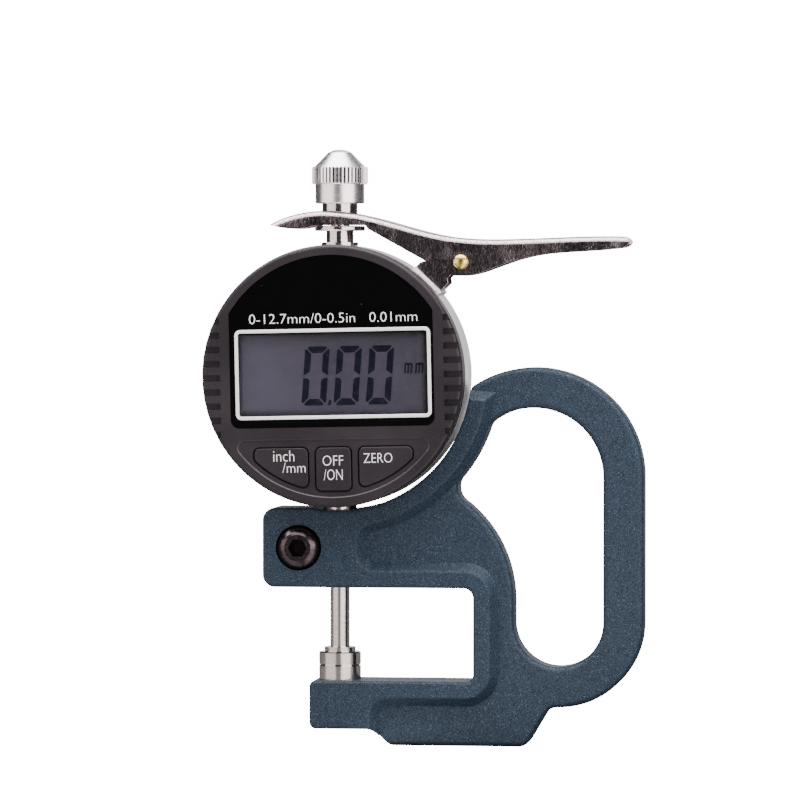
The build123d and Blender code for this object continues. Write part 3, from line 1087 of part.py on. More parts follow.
FIXED = {
    "frame": make_frame,
    "anvil": make_anvil,
    "clamp_screw": make_clamp_screw,
    "indicator_case": make_indicator_case,
    "face_retaining_wire": make_retaining_wire,
    "stem": make_stem,
    "lower_guide_bush": make_lower_guide_bush,
    "upper_bushing": make_upper_bushing,
    "stop_collar": make_stop_collar,
    "sensor_board": make_sensor_board,
    "sensor_board_screws": make_sensor_board_screws,
    "guide_rod": make_guide_rod,
    "return_spring": make_return_spring,
    "back_cover": make_back_cover,
    "back_cover_screws": make_back_cover_screws,
    "battery_tray": make_battery_tray,
    "battery_contact": make_battery_contact,
    "battery": make_battery,
    "battery_cap": make_battery_cap,
    "lever_bracket": make_lever_bracket,
    "bracket_screws": make_bracket_screws,
    "pivot_pin": make_pivot_pin,
    "spindle": make_spindle,
    "contact_disc": make_contact_disc,
    "sensor_slider": make_sensor_slider,
    "slider_screw": make_slider_screw,
    "scale_plate": make_scale_plate,
    "cap_neck": make_cap_neck,
    "lifting_cap": make_lifting_cap,
    "lift_lever": make_lift_lever,
}

TURNED = {
    "bezel": make_bezel,
    "face_panel": make_face_panel,
    "display_window": make_display_window,
    "lcd": make_lcd,
    "zebra_strips": make_zebra_strips,
    "display_board": make_display_board,
    "display_board_screws": make_display_board_screws,
    "keypad_mat": make_keypad_mat,
    "unit_button": lambda: make_key(-1),
    "power_button": lambda: make_key(0),
    "zero_button": lambda: make_key(1),
}


def grouped(shape):
    """One shape from a single solid or from a list of separate solids."""
    return Compound(children=shape) if isinstance(shape, list) else shape


os.makedirs("parts", exist_ok=True)
for name, make in FIXED.items():
    export_step(grouped(make()), f"parts/{name}.step")
for name, make in TURNED.items():
    export_step(on_face(grouped(make())), f"parts/{name}.step")
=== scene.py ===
# %% [markdown]
# # A digital thickness gauge, dressed for the studio
# The solid model of the gauge is already built: a cast frame, a round indicator with a display, a sprung
# spindle and a lifting lever. This lesson gives each of its pieces the finish that the real one has, adds
# what is printed or shown on it, and sets up a pale studio. Lengths are metres, the gauge stands on its
# foot, the display faces -Y, and the origin is the middle of the lower measuring face.

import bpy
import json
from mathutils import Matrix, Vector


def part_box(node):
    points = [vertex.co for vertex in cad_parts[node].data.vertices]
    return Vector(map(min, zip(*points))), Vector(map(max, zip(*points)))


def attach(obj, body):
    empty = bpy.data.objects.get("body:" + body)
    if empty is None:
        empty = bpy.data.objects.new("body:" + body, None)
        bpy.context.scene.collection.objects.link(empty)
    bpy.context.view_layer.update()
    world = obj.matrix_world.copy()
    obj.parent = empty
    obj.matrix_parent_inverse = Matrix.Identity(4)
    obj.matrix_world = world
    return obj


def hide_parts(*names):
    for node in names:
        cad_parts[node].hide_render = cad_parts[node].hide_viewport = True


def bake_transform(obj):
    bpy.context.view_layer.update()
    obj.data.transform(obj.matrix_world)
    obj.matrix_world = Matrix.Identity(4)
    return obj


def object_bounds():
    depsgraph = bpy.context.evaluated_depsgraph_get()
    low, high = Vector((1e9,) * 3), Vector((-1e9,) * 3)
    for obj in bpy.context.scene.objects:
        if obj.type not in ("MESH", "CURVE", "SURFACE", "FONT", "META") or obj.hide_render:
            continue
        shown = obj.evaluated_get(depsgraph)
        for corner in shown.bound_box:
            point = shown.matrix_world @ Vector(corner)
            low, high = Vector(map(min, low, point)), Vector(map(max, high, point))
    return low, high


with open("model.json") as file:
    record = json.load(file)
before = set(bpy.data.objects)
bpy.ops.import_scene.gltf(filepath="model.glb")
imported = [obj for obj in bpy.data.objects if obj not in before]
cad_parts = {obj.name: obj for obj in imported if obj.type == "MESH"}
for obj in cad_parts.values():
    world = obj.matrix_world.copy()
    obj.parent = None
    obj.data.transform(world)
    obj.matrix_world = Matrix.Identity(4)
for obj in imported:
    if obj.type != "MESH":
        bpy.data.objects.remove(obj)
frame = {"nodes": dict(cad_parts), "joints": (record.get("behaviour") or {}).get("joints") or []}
cad_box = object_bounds()
print("solid model from", [round(v, 4) for v in cad_box[0]], "to", [round(v, 4) for v in cad_box[1]])

# %% Tools of the trade
import json
import math

import bpy
import numpy as np
from mathutils import Vector

MM = 0.001
nodes = frame["nodes"]
joints = {joint["name"]: joint for joint in frame["joints"]}
HEAD = np.array(joints["face_turn"]["pos_m"])
print(len(nodes), "pieces, head centre at", HEAD)

# %% [markdown]
# ## The camera
# The photograph was taken from a little more than a metre away, about seven degrees round to the right of
# the display and barely above it. A long lens gives that calm view, with almost no perspective. The lens
# follows from the scale: how many millimetres fill the picture's width at the distance of the gauge.

# %% Place the camera
TARGET = Vector((0.0144, 0.0, 0.0631))
DISTANCE = 1.2
AROUND = math.radians(7.3)
ABOVE = math.radians(1.4)
PICTURE_WIDTH, PIXELS_PER_MM, SENSOR = 800, 4.204, 36.0


def put_in_scene(name, data):
    """Object that holds a mesh, a lamp or a camera, linked to the scene at the origin."""
    made = bpy.data.objects.new(name, data)
    bpy.context.scene.collection.objects.link(made)
    return made


towards = Vector((math.sin(AROUND) * math.cos(ABOVE), -math.cos(AROUND) * math.cos(ABOVE), math.sin(ABOVE)))
camera_data = bpy.data.cameras.new("camera")
camera_data.sensor_width = SENSOR
camera_data.lens = SENSOR * DISTANCE / (PICTURE_WIDTH / PIXELS_PER_MM * MM)
camera_data.clip_end = 20.0
camera = put_in_scene("camera", camera_data)
camera.location = TARGET + DISTANCE * towards
camera.rotation_euler = towards.to_track_quat("Z", "Y").to_euler()
bpy.context.scene.camera = camera
print("lens of", round(camera_data.lens), "mm from", [round(v, 3) for v in camera.location])

# %% [markdown]
# ## Surfaces from arrays
# Every new piece in this lesson is a grid of points: rows along a path, columns across a profile. One
# helper turns such a grid into a mesh object. It can close the grid in either direction, so the same few
# lines make a ring, a tube or a sheet.

# %% A grid of points becomes a mesh
def grid_piece(name, points, close_rows=False, close_columns=False):
    """Smooth mesh from points[row, column]: each face joins (i, j), (i, j+1), (i+1, j+1) and (i+1, j)."""
    rows, columns = points.shape[:2]
    i = np.arange(rows if close_rows else rows - 1)
    j = np.arange(columns if close_columns else columns - 1)
    i, j = (a.ravel() for a in np.meshgrid(i, j, indexing="ij"))
    down, over = (i + 1) % rows, (j + 1) % columns
    faces = np.stack([i * columns + j, i * columns + over, down * columns + over, down * columns + j], axis=1)
    mesh = bpy.data.meshes.new(name)
    mesh.from_pydata(points.reshape(-1, 3).tolist(), [], faces.tolist())
    mesh.polygons.foreach_set("use_smooth", np.full(len(mesh.polygons), True))
    mesh.update()
    print(name, "has", len(mesh.polygons), "faces")
    return put_in_scene(name, mesh)


# %% [markdown]
# ## Joining shader nodes
# A material is a net of nodes. A few helpers keep it readable: one makes a node with its settings, one joins
# sockets, and the others give the place on the object, a noise, a straight-line ramp and a plain sum. The
# paper of the studio needs them first, the finishes of the gauge later.

# %% Small helpers for node trees
def node(tree, kind, **settings):
    """New node with its plain settings given by name."""
    made = tree.nodes.new(kind)
    for name, value in settings.items():
        setattr(made, name, value)
    return made


def connect(tree, *pairs):
    """Join (from socket, to socket) pairs."""
    for start, end in pairs:
        tree.links.new(start, end)


def object_place(tree):
    """Socket with the place on the object, in metres."""
    return node(tree, "ShaderNodeTexCoord").outputs["Object"]


def object_axes(tree):
    """The same place as three sockets, x, y and z."""
    parts = node(tree, "ShaderNodeSeparateXYZ")
    connect(tree, (object_place(tree), parts.inputs[0]))
    return [parts.outputs[axis] for axis in "XYZ"]


def noise_at(tree, place, **sockets):
    """Noise of size one at a place, with its plain sockets given by name; gives its Fac socket."""
    pattern = node(tree, "ShaderNodeTexNoise")
    for label, value in {"Scale": 1.0, **sockets}.items():
        pattern.inputs[label].default_value = value
    connect(tree, (place, pattern.inputs["Vector"]))
    return pattern.outputs["Fac"]


def noise(tree, place, per_metre, detail=2.0, roughness=0.5, stretch=(1, 1, 1)):
    """Noise with so many features to the metre, stretched along the axes; gives its Fac socket."""
    spread = node(tree, "ShaderNodeVectorMath", operation="MULTIPLY")
    spread.inputs[1].default_value = [per_metre * s for s in stretch]
    connect(tree, (place, spread.inputs[0]))
    return noise_at(tree, spread.outputs[0], Detail=detail, Roughness=roughness)


def remap(tree, value, low, high, to_low=0.0, to_high=1.0):
    """Straight line from (low, to_low) to (high, to_high), held level outside."""
    scale = node(tree, "ShaderNodeMapRange")
    for label, number in (("From Min", low), ("From Max", high), ("To Min", to_low), ("To Max", to_high)):
        scale.inputs[label].default_value = number
    connect(tree, (value, scale.inputs["Value"]))
    return scale.outputs["Result"]


def maths(tree, operation, first, second):
    """One sum of two values, each a socket or a plain number."""
    step = node(tree, "ShaderNodeMath", operation=operation)
    for slot, value in enumerate((first, second)):
        if isinstance(value, (int, float)):
            step.inputs[slot].default_value = value
        else:
            connect(tree, (value, step.inputs[slot]))
    return step.outputs[0]


# %% [markdown]
# ## The studio
# A white sweep is the classic table for product pictures: a floor that curves up into a wall, with no line
# between them. Its side view is a profile of three parts, a level run, a quarter circle and a rise, carried
# sideways in X. The floor lies exactly under the gauge's foot.

# %% Roll out the sweep
FLOOR = cad_box[0][2]
NEAR, FAR, BEND, TOP, HALF_WIDTH = -2.5, 0.9, 0.5, 2.4, 2.2
level = np.stack([np.linspace(NEAR, FAR, 12), np.full(12, FLOOR)], axis=1)
angle = np.linspace(0, math.pi / 2, 25)[1:]
curve = np.stack([FAR + BEND * np.sin(angle), FLOOR + BEND * (1 - np.cos(angle))], axis=1)
rise = np.stack([np.full(6, FAR + BEND), FLOOR + np.linspace(BEND, TOP, 6)], axis=1)
profile = np.concatenate([level, curve, rise[1:]])
across = np.linspace(-HALF_WIDTH, HALF_WIDTH, 9)
sheet = np.empty((len(profile), len(across), 3))
sheet[..., 0] = across[None, :]
sheet[..., 1:] = profile[:, None, :]
floor = grid_piece("studio_sweep", sheet[:, ::-1])

# %% [markdown]
# ## The glow of the paper
# The paper has two jobs. Seen straight on it is the white ground of the picture. Seen in the bright metal it
# must not be white all round, or every rod would look flat. A photographer sets dark cards there, and this
# paper glows white for camera rays only. For reflections it is dim, with a lit strip on the wall behind and
# a pool of light at either side, each faded in and out along its bearing from the gauge, in radians.

# %% Make the paper glow
PAPER_WHITE, PAPER_GREY = 16.0, 0.04
GLOW_NEAR, GLOW_FAR = 0.055, 0.05
STRIP_GLOW, STRIP_CORE, STRIP_EDGE = 1.4, 0.3, 0.6
POOL_LEFT, POOL_RIGHT = 0.75, 1.5


def pool(glow, rise, full, fade, end):
    """Glow that rises between two bearings and falls again between two more."""
    return maths(tree, "MULTIPLY", remap(tree, bearing, rise, full, 0.0, glow), remap(tree, bearing, end, fade))


paper = bpy.data.materials.new("sweep_paper")
paper.use_nodes = True
tree = paper.node_tree
surface = tree.nodes["Principled BSDF"]
surface.inputs["Base Color"].default_value = (PAPER_GREY, PAPER_GREY, PAPER_GREY, 1.0)
surface.inputs["Roughness"].default_value = 0.8
surface.inputs["Emission Color"].default_value = (1.0, 1.0, 1.0, 1.0)
x, y, _ = object_axes(tree)
aside = maths(tree, "ABSOLUTE", x, 0.0)
strip = maths(tree, "MULTIPLY", remap(tree, aside, STRIP_EDGE, STRIP_CORE, 0.0, STRIP_GLOW),
              remap(tree, y, 0.6, FAR))
bearing = maths(tree, "ARCTAN2", x, maths(tree, "MULTIPLY", y, -1.0))
pools = maths(tree, "ADD", pool(POOL_LEFT, -0.20, -0.34, -1.2, -1.45), pool(POOL_RIGHT, 0.16, 0.30, 1.05, 1.25))
dim = maths(tree, "ADD", strip, remap(tree, y, -0.25, 0.35, GLOW_NEAR, GLOW_FAR))
choose = node(tree, "ShaderNodeMix")
choose.inputs[3].default_value = PAPER_WHITE
connect(tree, (maths(tree, "ADD", dim, pools), choose.inputs[2]),
        (node(tree, "ShaderNodeLightPath").outputs["Is Camera Ray"], choose.inputs[0]),
        (choose.outputs[0], surface.inputs["Emission Strength"]))
floor.data.materials.append(paper)
print("paper glows", PAPER_WHITE, "to the camera and", GLOW_FAR, "to", POOL_RIGHT, "in reflections")

# %% [markdown]
# ## The light
# Bright metal shows what stands around it, so the light here is a set of large soft boxes in a dark room.
# One hangs overhead and draws the bright line along the lever's back. A weaker one in front of it lights the
# dark face. Wide ones stand left and right and put the long streaks on the spindle and the knob. The space
# behind the camera stays darker, which gives the steel its dark bands.

# %% Hang the soft boxes
LIT_MIDDLE = (0.02, 0.0, 0.06)


def soft_box(name, place, width, height, power, tint=(1.0, 1.0, 1.0)):
    """Rectangular area light at a place, turned so that it shines at the middle of the gauge."""
    data = bpy.data.lights.new(name, "AREA")
    data.shape = "RECTANGLE"
    data.size, data.size_y = width, height
    data.energy = power
    data.color = tint
    light = put_in_scene(name, data)
    light.location = place
    light.rotation_euler = (Vector(place) - Vector(LIT_MIDDLE)).to_track_quat("Z", "Y").to_euler()


soft_box("overhead_box", (0.0, -0.2, 0.95), 2.0, 0.8, 44.0)
soft_box("front_top_box", (-0.1, -1.0, 0.95), 1.0, 0.5, 5.7)
soft_box("left_box", (-0.8, -0.6, 0.2), 1.25, 0.55, 4.8, (1.0, 0.91, 0.89))
soft_box("right_box", (0.74, -0.68, 0.2), 1.1, 0.5, 7.4, (1.0, 0.94, 0.94))

world = bpy.data.worlds.new("room")
world.use_nodes = True
world.node_tree.nodes["Background"].inputs["Color"].default_value = (0.9, 0.95, 1.0, 1.0)
world.node_tree.nodes["Background"].inputs["Strength"].default_value = 0.05
bpy.context.scene.world = world
print(len(bpy.data.lights), "soft boxes")

# %% [markdown]
# ## How a finish is put together
# A finish is a Principled shader whose colour, roughness and normal change over the surface. The patterns
# are the same few physical effects each time: sand in the paint, fine moulded grain, turning marks from a
# lathe, and the faint smears that hands leave. Each effect is a node group with named inputs, built once and
# placed in many finishes with its own values. All of them read Object coordinates, so a pattern keeps its
# real size on every piece.

# %% Start a node group
def new_group(name, numbers, outputs):
    """Empty group with number inputs (name: start value) and named outputs; gives tree, inputs and outputs."""
    tree = bpy.data.node_groups.new(name, "ShaderNodeTree")
    for label, value in numbers.items():
        socket = tree.interface.new_socket(label, in_out="INPUT", socket_type="NodeSocketFloat")
        socket.default_value = value
    for label in outputs:
        tree.interface.new_socket(label, in_out="OUTPUT", socket_type="NodeSocketFloat")
    return tree, node(tree, "NodeGroupInput").outputs, node(tree, "NodeGroupOutput").inputs


def scaled(tree, place, rate):
    """A place times a rate socket: one unit for each feature of the pattern."""
    spread = node(tree, "ShaderNodeVectorMath", operation="SCALE")
    connect(tree, (place, spread.inputs[0]), (rate, spread.inputs["Scale"]))
    return spread.outputs[0]


# %% [markdown]
# ## Sand in the paint
# The casting is painted with a textured metallic paint. Close up it is a field of grains about a third of a
# millimetre wide, with lighter flakes scattered among them. One layer of noise gives the grains their
# height, a wider one is added to their colour, and a cell pattern picks out single flakes.

# %% The sanded paint group
def sand_group():
    """Grain height, a speckle value around one half, and a mask of bright flakes."""
    tree, given, result = new_group("sanded_paint", {"Grains per Metre": 2600.0}, ("Height", "Speckle", "Flake"))
    place = object_place(tree)
    grains = scaled(tree, place, given["Grains per Metre"])
    grain = noise_at(tree, grains, Detail=1.0)
    cells = node(tree, "ShaderNodeTexVoronoi")
    cells.inputs["Scale"].default_value = 0.9
    tone = node(tree, "ShaderNodeSeparateColor")
    connect(tree, (grains, cells.inputs["Vector"]), (cells.outputs["Color"], tone.inputs[0]))
    chosen = remap(tree, tone.outputs[0], 0.82, 0.9)
    small = remap(tree, cells.outputs["Distance"], 0.32, 0.18)
    speckle = maths(tree, "ADD", maths(tree, "MULTIPLY", grain, 0.88),
                    maths(tree, "MULTIPLY", noise(tree, place, 420.0), 0.12))
    connect(tree, (grain, result["Height"]), (speckle, result["Speckle"]),
            (maths(tree, "MULTIPLY", chosen, small), result["Flake"]))
    return tree


SAND = sand_group()
print("group", SAND.name)

# %% [markdown]
# ## Fine moulded grain
# Moulded plastic copies the spark-eroded skin of its mould: a soft, even grain of about a fifth of a
# millimetre, with a slow drift in gloss over the whole piece.

# %% The moulded grain group
def grain_group():
    """Fine height and a slow drift from 0 to 1."""
    tree, given, result = new_group("moulded_grain", {"Grains per Metre": 7000.0}, ("Height", "Drift"))
    place = object_place(tree)
    fine = noise_at(tree, scaled(tree, place, given["Grains per Metre"]), Detail=2.0)
    drift = remap(tree, noise(tree, place, 60.0, 3.0), 0.3, 0.7)
    connect(tree, (fine, result["Height"]), (drift, result["Drift"]))
    return tree


GRAIN = grain_group()

# %% [markdown]
# ## Marks of the lathe and of the grinding wheel
# Turned and ground parts carry very fine rings round their axis. On a bar that stands along Z each ring is a
# level line, so noise that is drawn out sideways and kept fine in Z draws them. The round case turns about Y
# instead, so its marks are fine along Y, and each of the two rates is an input of the group.

# %% The turning marks group
SIDEWAYS = 60.0


def turned_group():
    """Ring height and a broken-up smear value for parts turned about Z or Y."""
    tree, given, result = new_group("turning_marks", {"Rings per Metre": 9000.0, "Rings along Y": SIDEWAYS},
                                    ("Height", "Smear"))
    x, y, z = object_axes(tree)
    line = node(tree, "ShaderNodeCombineXYZ")
    for place, rate, socket in ((x, SIDEWAYS, "X"), (y, given["Rings along Y"], "Y"),
                                (z, given["Rings per Metre"], "Z")):
        connect(tree, (maths(tree, "MULTIPLY", place, rate), line.inputs[socket]))
    smear = remap(tree, noise(tree, object_place(tree), 900.0, 3.0, 0.6, (1.0, 1.0, 2.5)), 0.3, 0.7)
    connect(tree, (noise_at(tree, line.outputs[0], Detail=3.0), result["Height"]), (smear, result["Smear"]))
    return tree


TURNED = turned_group()

# %% [markdown]
# ## Smears from handling
# Nothing bright stays clean. Large soft patches where fingers rubbed the gloss away, and thin wandering
# streaks inside them, change the roughness by a few hundredths and nothing else.

# %% The handling group
def handling_group():
    """A patchy value from 0, clean, to 1, rubbed."""
    tree, given, result = new_group("handling", {"Patches per Metre": 90.0}, ("Rubbed",))
    place = object_place(tree)
    patch = noise_at(tree, scaled(tree, place, given["Patches per Metre"]), Detail=4.0, Distortion=1.2)
    streak = noise(tree, place, 1500.0, 2.0, 0.5, (1.0, 1.0, 0.12))
    both = maths(tree, "MULTIPLY", remap(tree, patch, 0.42, 0.68), remap(tree, streak, 0.3, 0.7, 0.5, 1.0))
    connect(tree, (both, result["Rubbed"]))
    return tree


HANDLING = handling_group()
print("groups:", [g.name for g in bpy.data.node_groups])

# %% [markdown]
# ## A finish from its parts
# These helpers start a material and hand back its tree and its shader, place a group in it, blend two
# colours and add a bump. A bump takes a height from 0 to 1 and the distance in metres that it stands for, so
# the marks are given by their depth.

# %% Start a material, mix two colours, cut the surface
def start(name, **sockets):
    """Material with one Principled shader and its constant sockets set by name."""
    made = bpy.data.materials.new(name)
    made.use_nodes = True
    shader = made.node_tree.nodes["Principled BSDF"]
    for label, value in sockets.items():
        shader.inputs[label.replace("_", " ")].default_value = value
    made.diffuse_color = tuple(shader.inputs["Base Color"].default_value)
    return made, made.node_tree, shader


def placed(tree, group, *numbers):
    """A group placed in a tree, with its inputs set in order; gives its output sockets."""
    made = node(tree, "ShaderNodeGroup", node_tree=group)
    for socket, number in zip(made.inputs, numbers):
        socket.default_value = number
    return made.outputs


def blend_colours(tree, factor, low, high):
    """Colour that goes from low to high with the factor."""
    mix = node(tree, "ShaderNodeMix", data_type="RGBA")
    mix.inputs[6].default_value = (*low, 1.0)
    mix.inputs[7].default_value = (*high, 1.0)
    connect(tree, (factor, mix.inputs[0]))
    return mix.outputs[2]


def engrave(tree, shader, height, depth):
    """Bump of a height from 0 to 1 that stands for so many metres."""
    bump = node(tree, "ShaderNodeBump")
    bump.inputs["Distance"].default_value = depth
    connect(tree, (height, bump.inputs["Height"]), (bump.outputs["Normal"], shader.inputs["Normal"]))


# %% [markdown]
# ## The frame's paint
# Blue-green metallic paint with a sandy skin. The colour swings a little from grain to grain, the flakes are
# lighter and more metallic, and the skin scatters light so that edges look soft.

# %% Mix the paint
def frame_paint():
    """Sanded metallic paint: speckle drives the colour, flakes drive the metal."""
    made, tree, shader = start("frame_paint", Base_Color=(0.035, 0.075, 0.11, 1.0), Roughness=0.5,
                               Specular_IOR_Level=0.35)
    sand = placed(tree, SAND, 3600.0)
    ground = blend_colours(tree, remap(tree, sand["Speckle"], 0.36, 0.66),
                           (0.0029, 0.0076, 0.0150), (0.027, 0.048, 0.077))
    light = node(tree, "ShaderNodeMix", data_type="RGBA")
    light.inputs[7].default_value = (0.17, 0.22, 0.27, 1.0)
    connect(tree, (sand["Flake"], light.inputs[0]), (ground, light.inputs[6]),
            (light.outputs[2], shader.inputs["Base Color"]),
            (remap(tree, sand["Flake"], 0.0, 1.0, 0.2, 0.8), shader.inputs["Metallic"]),
            (remap(tree, sand["Speckle"], 0.3, 0.7, 0.62, 0.42), shader.inputs["Roughness"]))
    engrave(tree, shader, sand["Height"], 0.00012)
    return made


FINISH = {"frame_paint": frame_paint()}
print("mixed", list(FINISH))

# %% [markdown]
# ## Metals
# The steel of the spindle and contacts is ground and slightly warm in tone. The lever is plated and bright,
# the knob and the case are satin, the rivet is brass and the clamp screw is blackened. One recipe serves
# them all: a metal with turning marks and handling, each with its own colour, roughness and depth of marks.

# %% Mix the metals
METAL_PATCHES = 140.0


def metal(name, low, high, smooth, rubbed, rings, depth, across=SIDEWAYS):
    """Metal whose colour and roughness follow its turning marks and its handling."""
    made, tree, shader = start(name, Base_Color=(*high, 1.0), Metallic=1.0, Roughness=smooth)
    turning = placed(tree, TURNED, rings, across)
    touch = placed(tree, HANDLING, METAL_PATCHES)
    rough = maths(tree, "ADD", remap(tree, touch["Rubbed"], 0.0, 1.0, smooth, rubbed),
                  remap(tree, turning["Smear"], 0.0, 1.0, -0.02, 0.04))
    connect(tree, (blend_colours(tree, turning["Smear"], low, high), shader.inputs["Base Color"]),
            (rough, shader.inputs["Roughness"]))
    engrave(tree, shader, turning["Height"], depth)
    return made


# Low colour, high colour, roughness clean and rubbed, rings per metre, depth of the marks, rings along Y.
METALS = {
    "contact_steel": ((0.70, 0.60, 0.55), (0.86, 0.77, 0.73), 0.09, 0.14, 9000.0, 1.2e-6),
    "case_metal": ((0.74, 0.68, 0.70), (0.96, 0.90, 0.91), 0.3, 0.38, 60.0, 4e-5, 2400.0),
    "turned_steel": ((0.56, 0.49, 0.48), (0.76, 0.69, 0.67), 0.1, 0.15, 7000.0, 1e-6),
    "satin_steel": ((0.80, 0.75, 0.75), (0.92, 0.88, 0.88), 0.42, 0.5, 7000.0, 1e-5),
    "cap_metal": ((0.95, 0.885, 0.895), (0.99, 0.925, 0.935), 0.27, 0.3, 8000.0, 6e-7),
    "spring_steel": ((0.35, 0.34, 0.34), (0.5, 0.49, 0.48), 0.25, 0.4, 5000.0, 8e-6),
    "brass": ((0.86, 0.60, 0.13), (0.96, 0.74, 0.24), 0.2, 0.28, 3000.0, 8e-6),
    "black_steel": ((0.05, 0.036, 0.04), (0.11, 0.083, 0.09), 0.22, 0.3, 5000.0, 6e-6),
}
for name, recipe in METALS.items():
    FINISH[name] = metal(name, *recipe)
print("mixed", list(FINISH))

# %% [markdown]
# ## Painted shade in the knurl and in the socket
# The knob's teeth are cut into a band. Their crests are polished by fingers, and the grooves between them
# get a painted shade, a darker colour where little light reaches. A point's distance from the knob's axis
# says how deep in a groove it lies. The rule only holds between the lower and upper edge of the band, so a
# second mask shuts it off above and below. The clamp screw's colour fades with the depth behind its front:
# painted shade down in its socket and round the rim of its domed head.

# %% Darken the grooves and the socket
def repaint(tree, shader, mask, colour):
    """The colour that the shader has so far where the mask is 1, and a plain one where it is 0."""
    mix = node(tree, "ShaderNodeMix", data_type="RGBA")
    mix.inputs[6].default_value = (*colour, 1.0)
    connect(tree, (mask, mix.inputs[0]), (shader.inputs["Base Color"].links[0].from_socket, mix.inputs[7]),
            (mix.outputs[2], shader.inputs["Base Color"]))


def knurl_groove_shade(made, crest, groove, bottom, top):
    """Painted shade from distance to the axis: 0.03 in a groove, 1 on a crest and outside the band."""
    tree = made.node_tree
    flat = node(tree, "ShaderNodeVectorMath", operation="MULTIPLY")
    flat.inputs[1].default_value = (1.0, 1.0, 0.0)
    shift = node(tree, "ShaderNodeVectorMath", operation="DISTANCE")
    shift.inputs[1].default_value = (float(HEAD[0]), 0.0, 0.0)
    connect(tree, (object_place(tree), flat.inputs[0]), (flat.outputs[0], shift.inputs[0]))
    height = object_axes(tree)[2]
    outside = maths(tree, "MAXIMUM", maths(tree, "LESS_THAN", height, bottom),
                    maths(tree, "GREATER_THAN", height, top))
    mask = maths(tree, "MAXIMUM", outside, remap(tree, shift.outputs["Value"], groove, crest, 0.03, 1.0))
    # the grooves' painted shade: near black where the mask is low
    repaint(tree, tree.nodes["Principled BSDF"], mask, (0.02, 0.015, 0.016))


def deep_shade(made, front, near, far, least):
    """Painted shade: colour falls to a share of itself between two depths behind the front of a piece, in metres
    along Y.
    """
    tree = made.node_tree
    mask = remap(tree, object_axes(tree)[1], front + near, front + far, 1.0, least)
    repaint(tree, tree.nodes["Principled BSDF"], mask, (0.0, 0.0, 0.0))


CREST, GROOVE, BAND_BOTTOM, BAND_TOP = 0.00663, 0.00643, 0.0049, 0.0085
SHADE_FROM, SHADE_TO, SHADE_LEAST = 0.0003, 0.0018, 0.2
cap_foot = float(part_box("lifting_cap")[0][2])
screw_front = float(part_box("clamp_screw")[0][1])
knurl_groove_shade(FINISH["cap_metal"], CREST, GROOVE, cap_foot + BAND_BOTTOM, cap_foot + BAND_TOP)
# painted shade in the screw's socket and round the rim of its domed head
deep_shade(FINISH["black_steel"], screw_front, SHADE_FROM, SHADE_TO, SHADE_LEAST)
print("knob from z =", round(cap_foot / MM, 2), "mm")

# %% [markdown]
# ## The plated sheet of the lever
# The lever is pressed from sheet and then plated. Seen from the side it mirrors the dark room, yet it is not
# even: the press leaves slow waves that tilt the mirror a little, and upright hairlines from the rolls. Both
# are heights here, the waves deep and wide, the hairlines shallow and fine.

# %% Mix the plating
def plated_sheet():
    """Bright plating over wavy sheet: wave and hairline heights added into one bump."""
    made, tree, shader = start("bright_steel", Base_Color=(0.68, 0.6, 0.61, 1.0), Metallic=1.0, Roughness=0.16)
    place = object_place(tree)
    touch = placed(tree, HANDLING, METAL_PATCHES)
    waves = noise(tree, place, 95.0, 1.0, 0.4, (1.0, 0.2, 0.6))
    hairs = noise(tree, place, 4400.0, 2.0, 0.6, (1.0, 1.0, 0.22))
    both = maths(tree, "ADD", waves, maths(tree, "MULTIPLY", hairs, 0.04))
    colour = blend_colours(tree, remap(tree, hairs, 0.35, 0.65), (0.19, 0.125, 0.14), (0.74, 0.62, 0.64))
    connect(tree, (colour, shader.inputs["Base Color"]),
            (remap(tree, touch["Rubbed"], 0.0, 1.0, 0.13, 0.26), shader.inputs["Roughness"]))
    engrave(tree, shader, both, 0.00085)
    return made


FINISH["bright_steel"] = plated_sheet()
print("mixed", list(FINISH)[-1])

# %% [markdown]
# ## Plastics, boards and rubber
# The turning face and its keys are dark moulded plastic with a warm tint. The soft mat, the tray and the
# boards lie inside and only show where the gauge is opened, but they get their own finish too.

# %% Mix the plastics
PLASTIC_PATCHES = 70.0


def moulded(name, low, high, smooth, dull, grains, depth, sheen=0.0):
    """Moulded plastic: colour and roughness drift slowly, the grain is fine."""
    made, tree, shader = start(name, Base_Color=(*high, 1.0), Roughness=smooth, Specular_IOR_Level=0.4,
                               Sheen_Weight=sheen)
    grain = placed(tree, GRAIN, grains)
    touch = placed(tree, HANDLING, PLASTIC_PATCHES)
    rough = maths(tree, "ADD", remap(tree, grain["Drift"], 0.0, 1.0, smooth, dull),
                  remap(tree, touch["Rubbed"], 0.0, 1.0, 0.0, -0.06))
    connect(tree, (blend_colours(tree, grain["Drift"], low, high), shader.inputs["Base Color"]),
            (rough, shader.inputs["Roughness"]))
    engrave(tree, shader, grain["Height"], depth)
    return made


# Low colour, high colour, roughness from and to, grains per metre, depth of the grain, sheen.
PLASTICS = {
    "dark_plastic": ((0.0082, 0.005, 0.0076), (0.0155, 0.0098, 0.0143), 0.4, 0.5, 5200.0, 4e-5),
    "inner_plastic": ((0.02, 0.02, 0.02), (0.035, 0.035, 0.034), 0.5, 0.6, 5000.0, 2e-5),
    "soft_rubber": ((0.05, 0.05, 0.052), (0.075, 0.075, 0.078), 0.7, 0.8, 4000.0, 2e-5, 0.2),
    "circuit_board": ((0.008, 0.09, 0.035), (0.014, 0.14, 0.055), 0.3, 0.4, 1200.0, 1.5e-5),
}
for name, recipe in PLASTICS.items():
    FINISH[name] = moulded(name, *recipe)
print("mixed", list(PLASTICS))

# %% [markdown]
# ## The gloss panel, the window and the display glass
# The panel is black and glossy, with a few specks of dust and faint smears. The window in front of the
# display is clear. Light has to pass it to reach the display, so for shadow rays it counts as plain air.
# The display glass is a grey-violet reflector, darker towards the right, with a painted shadow of the panel's edge
# along its border.

# %% Mix the panel and the glasses
GLASS_PATCHES = 60.0


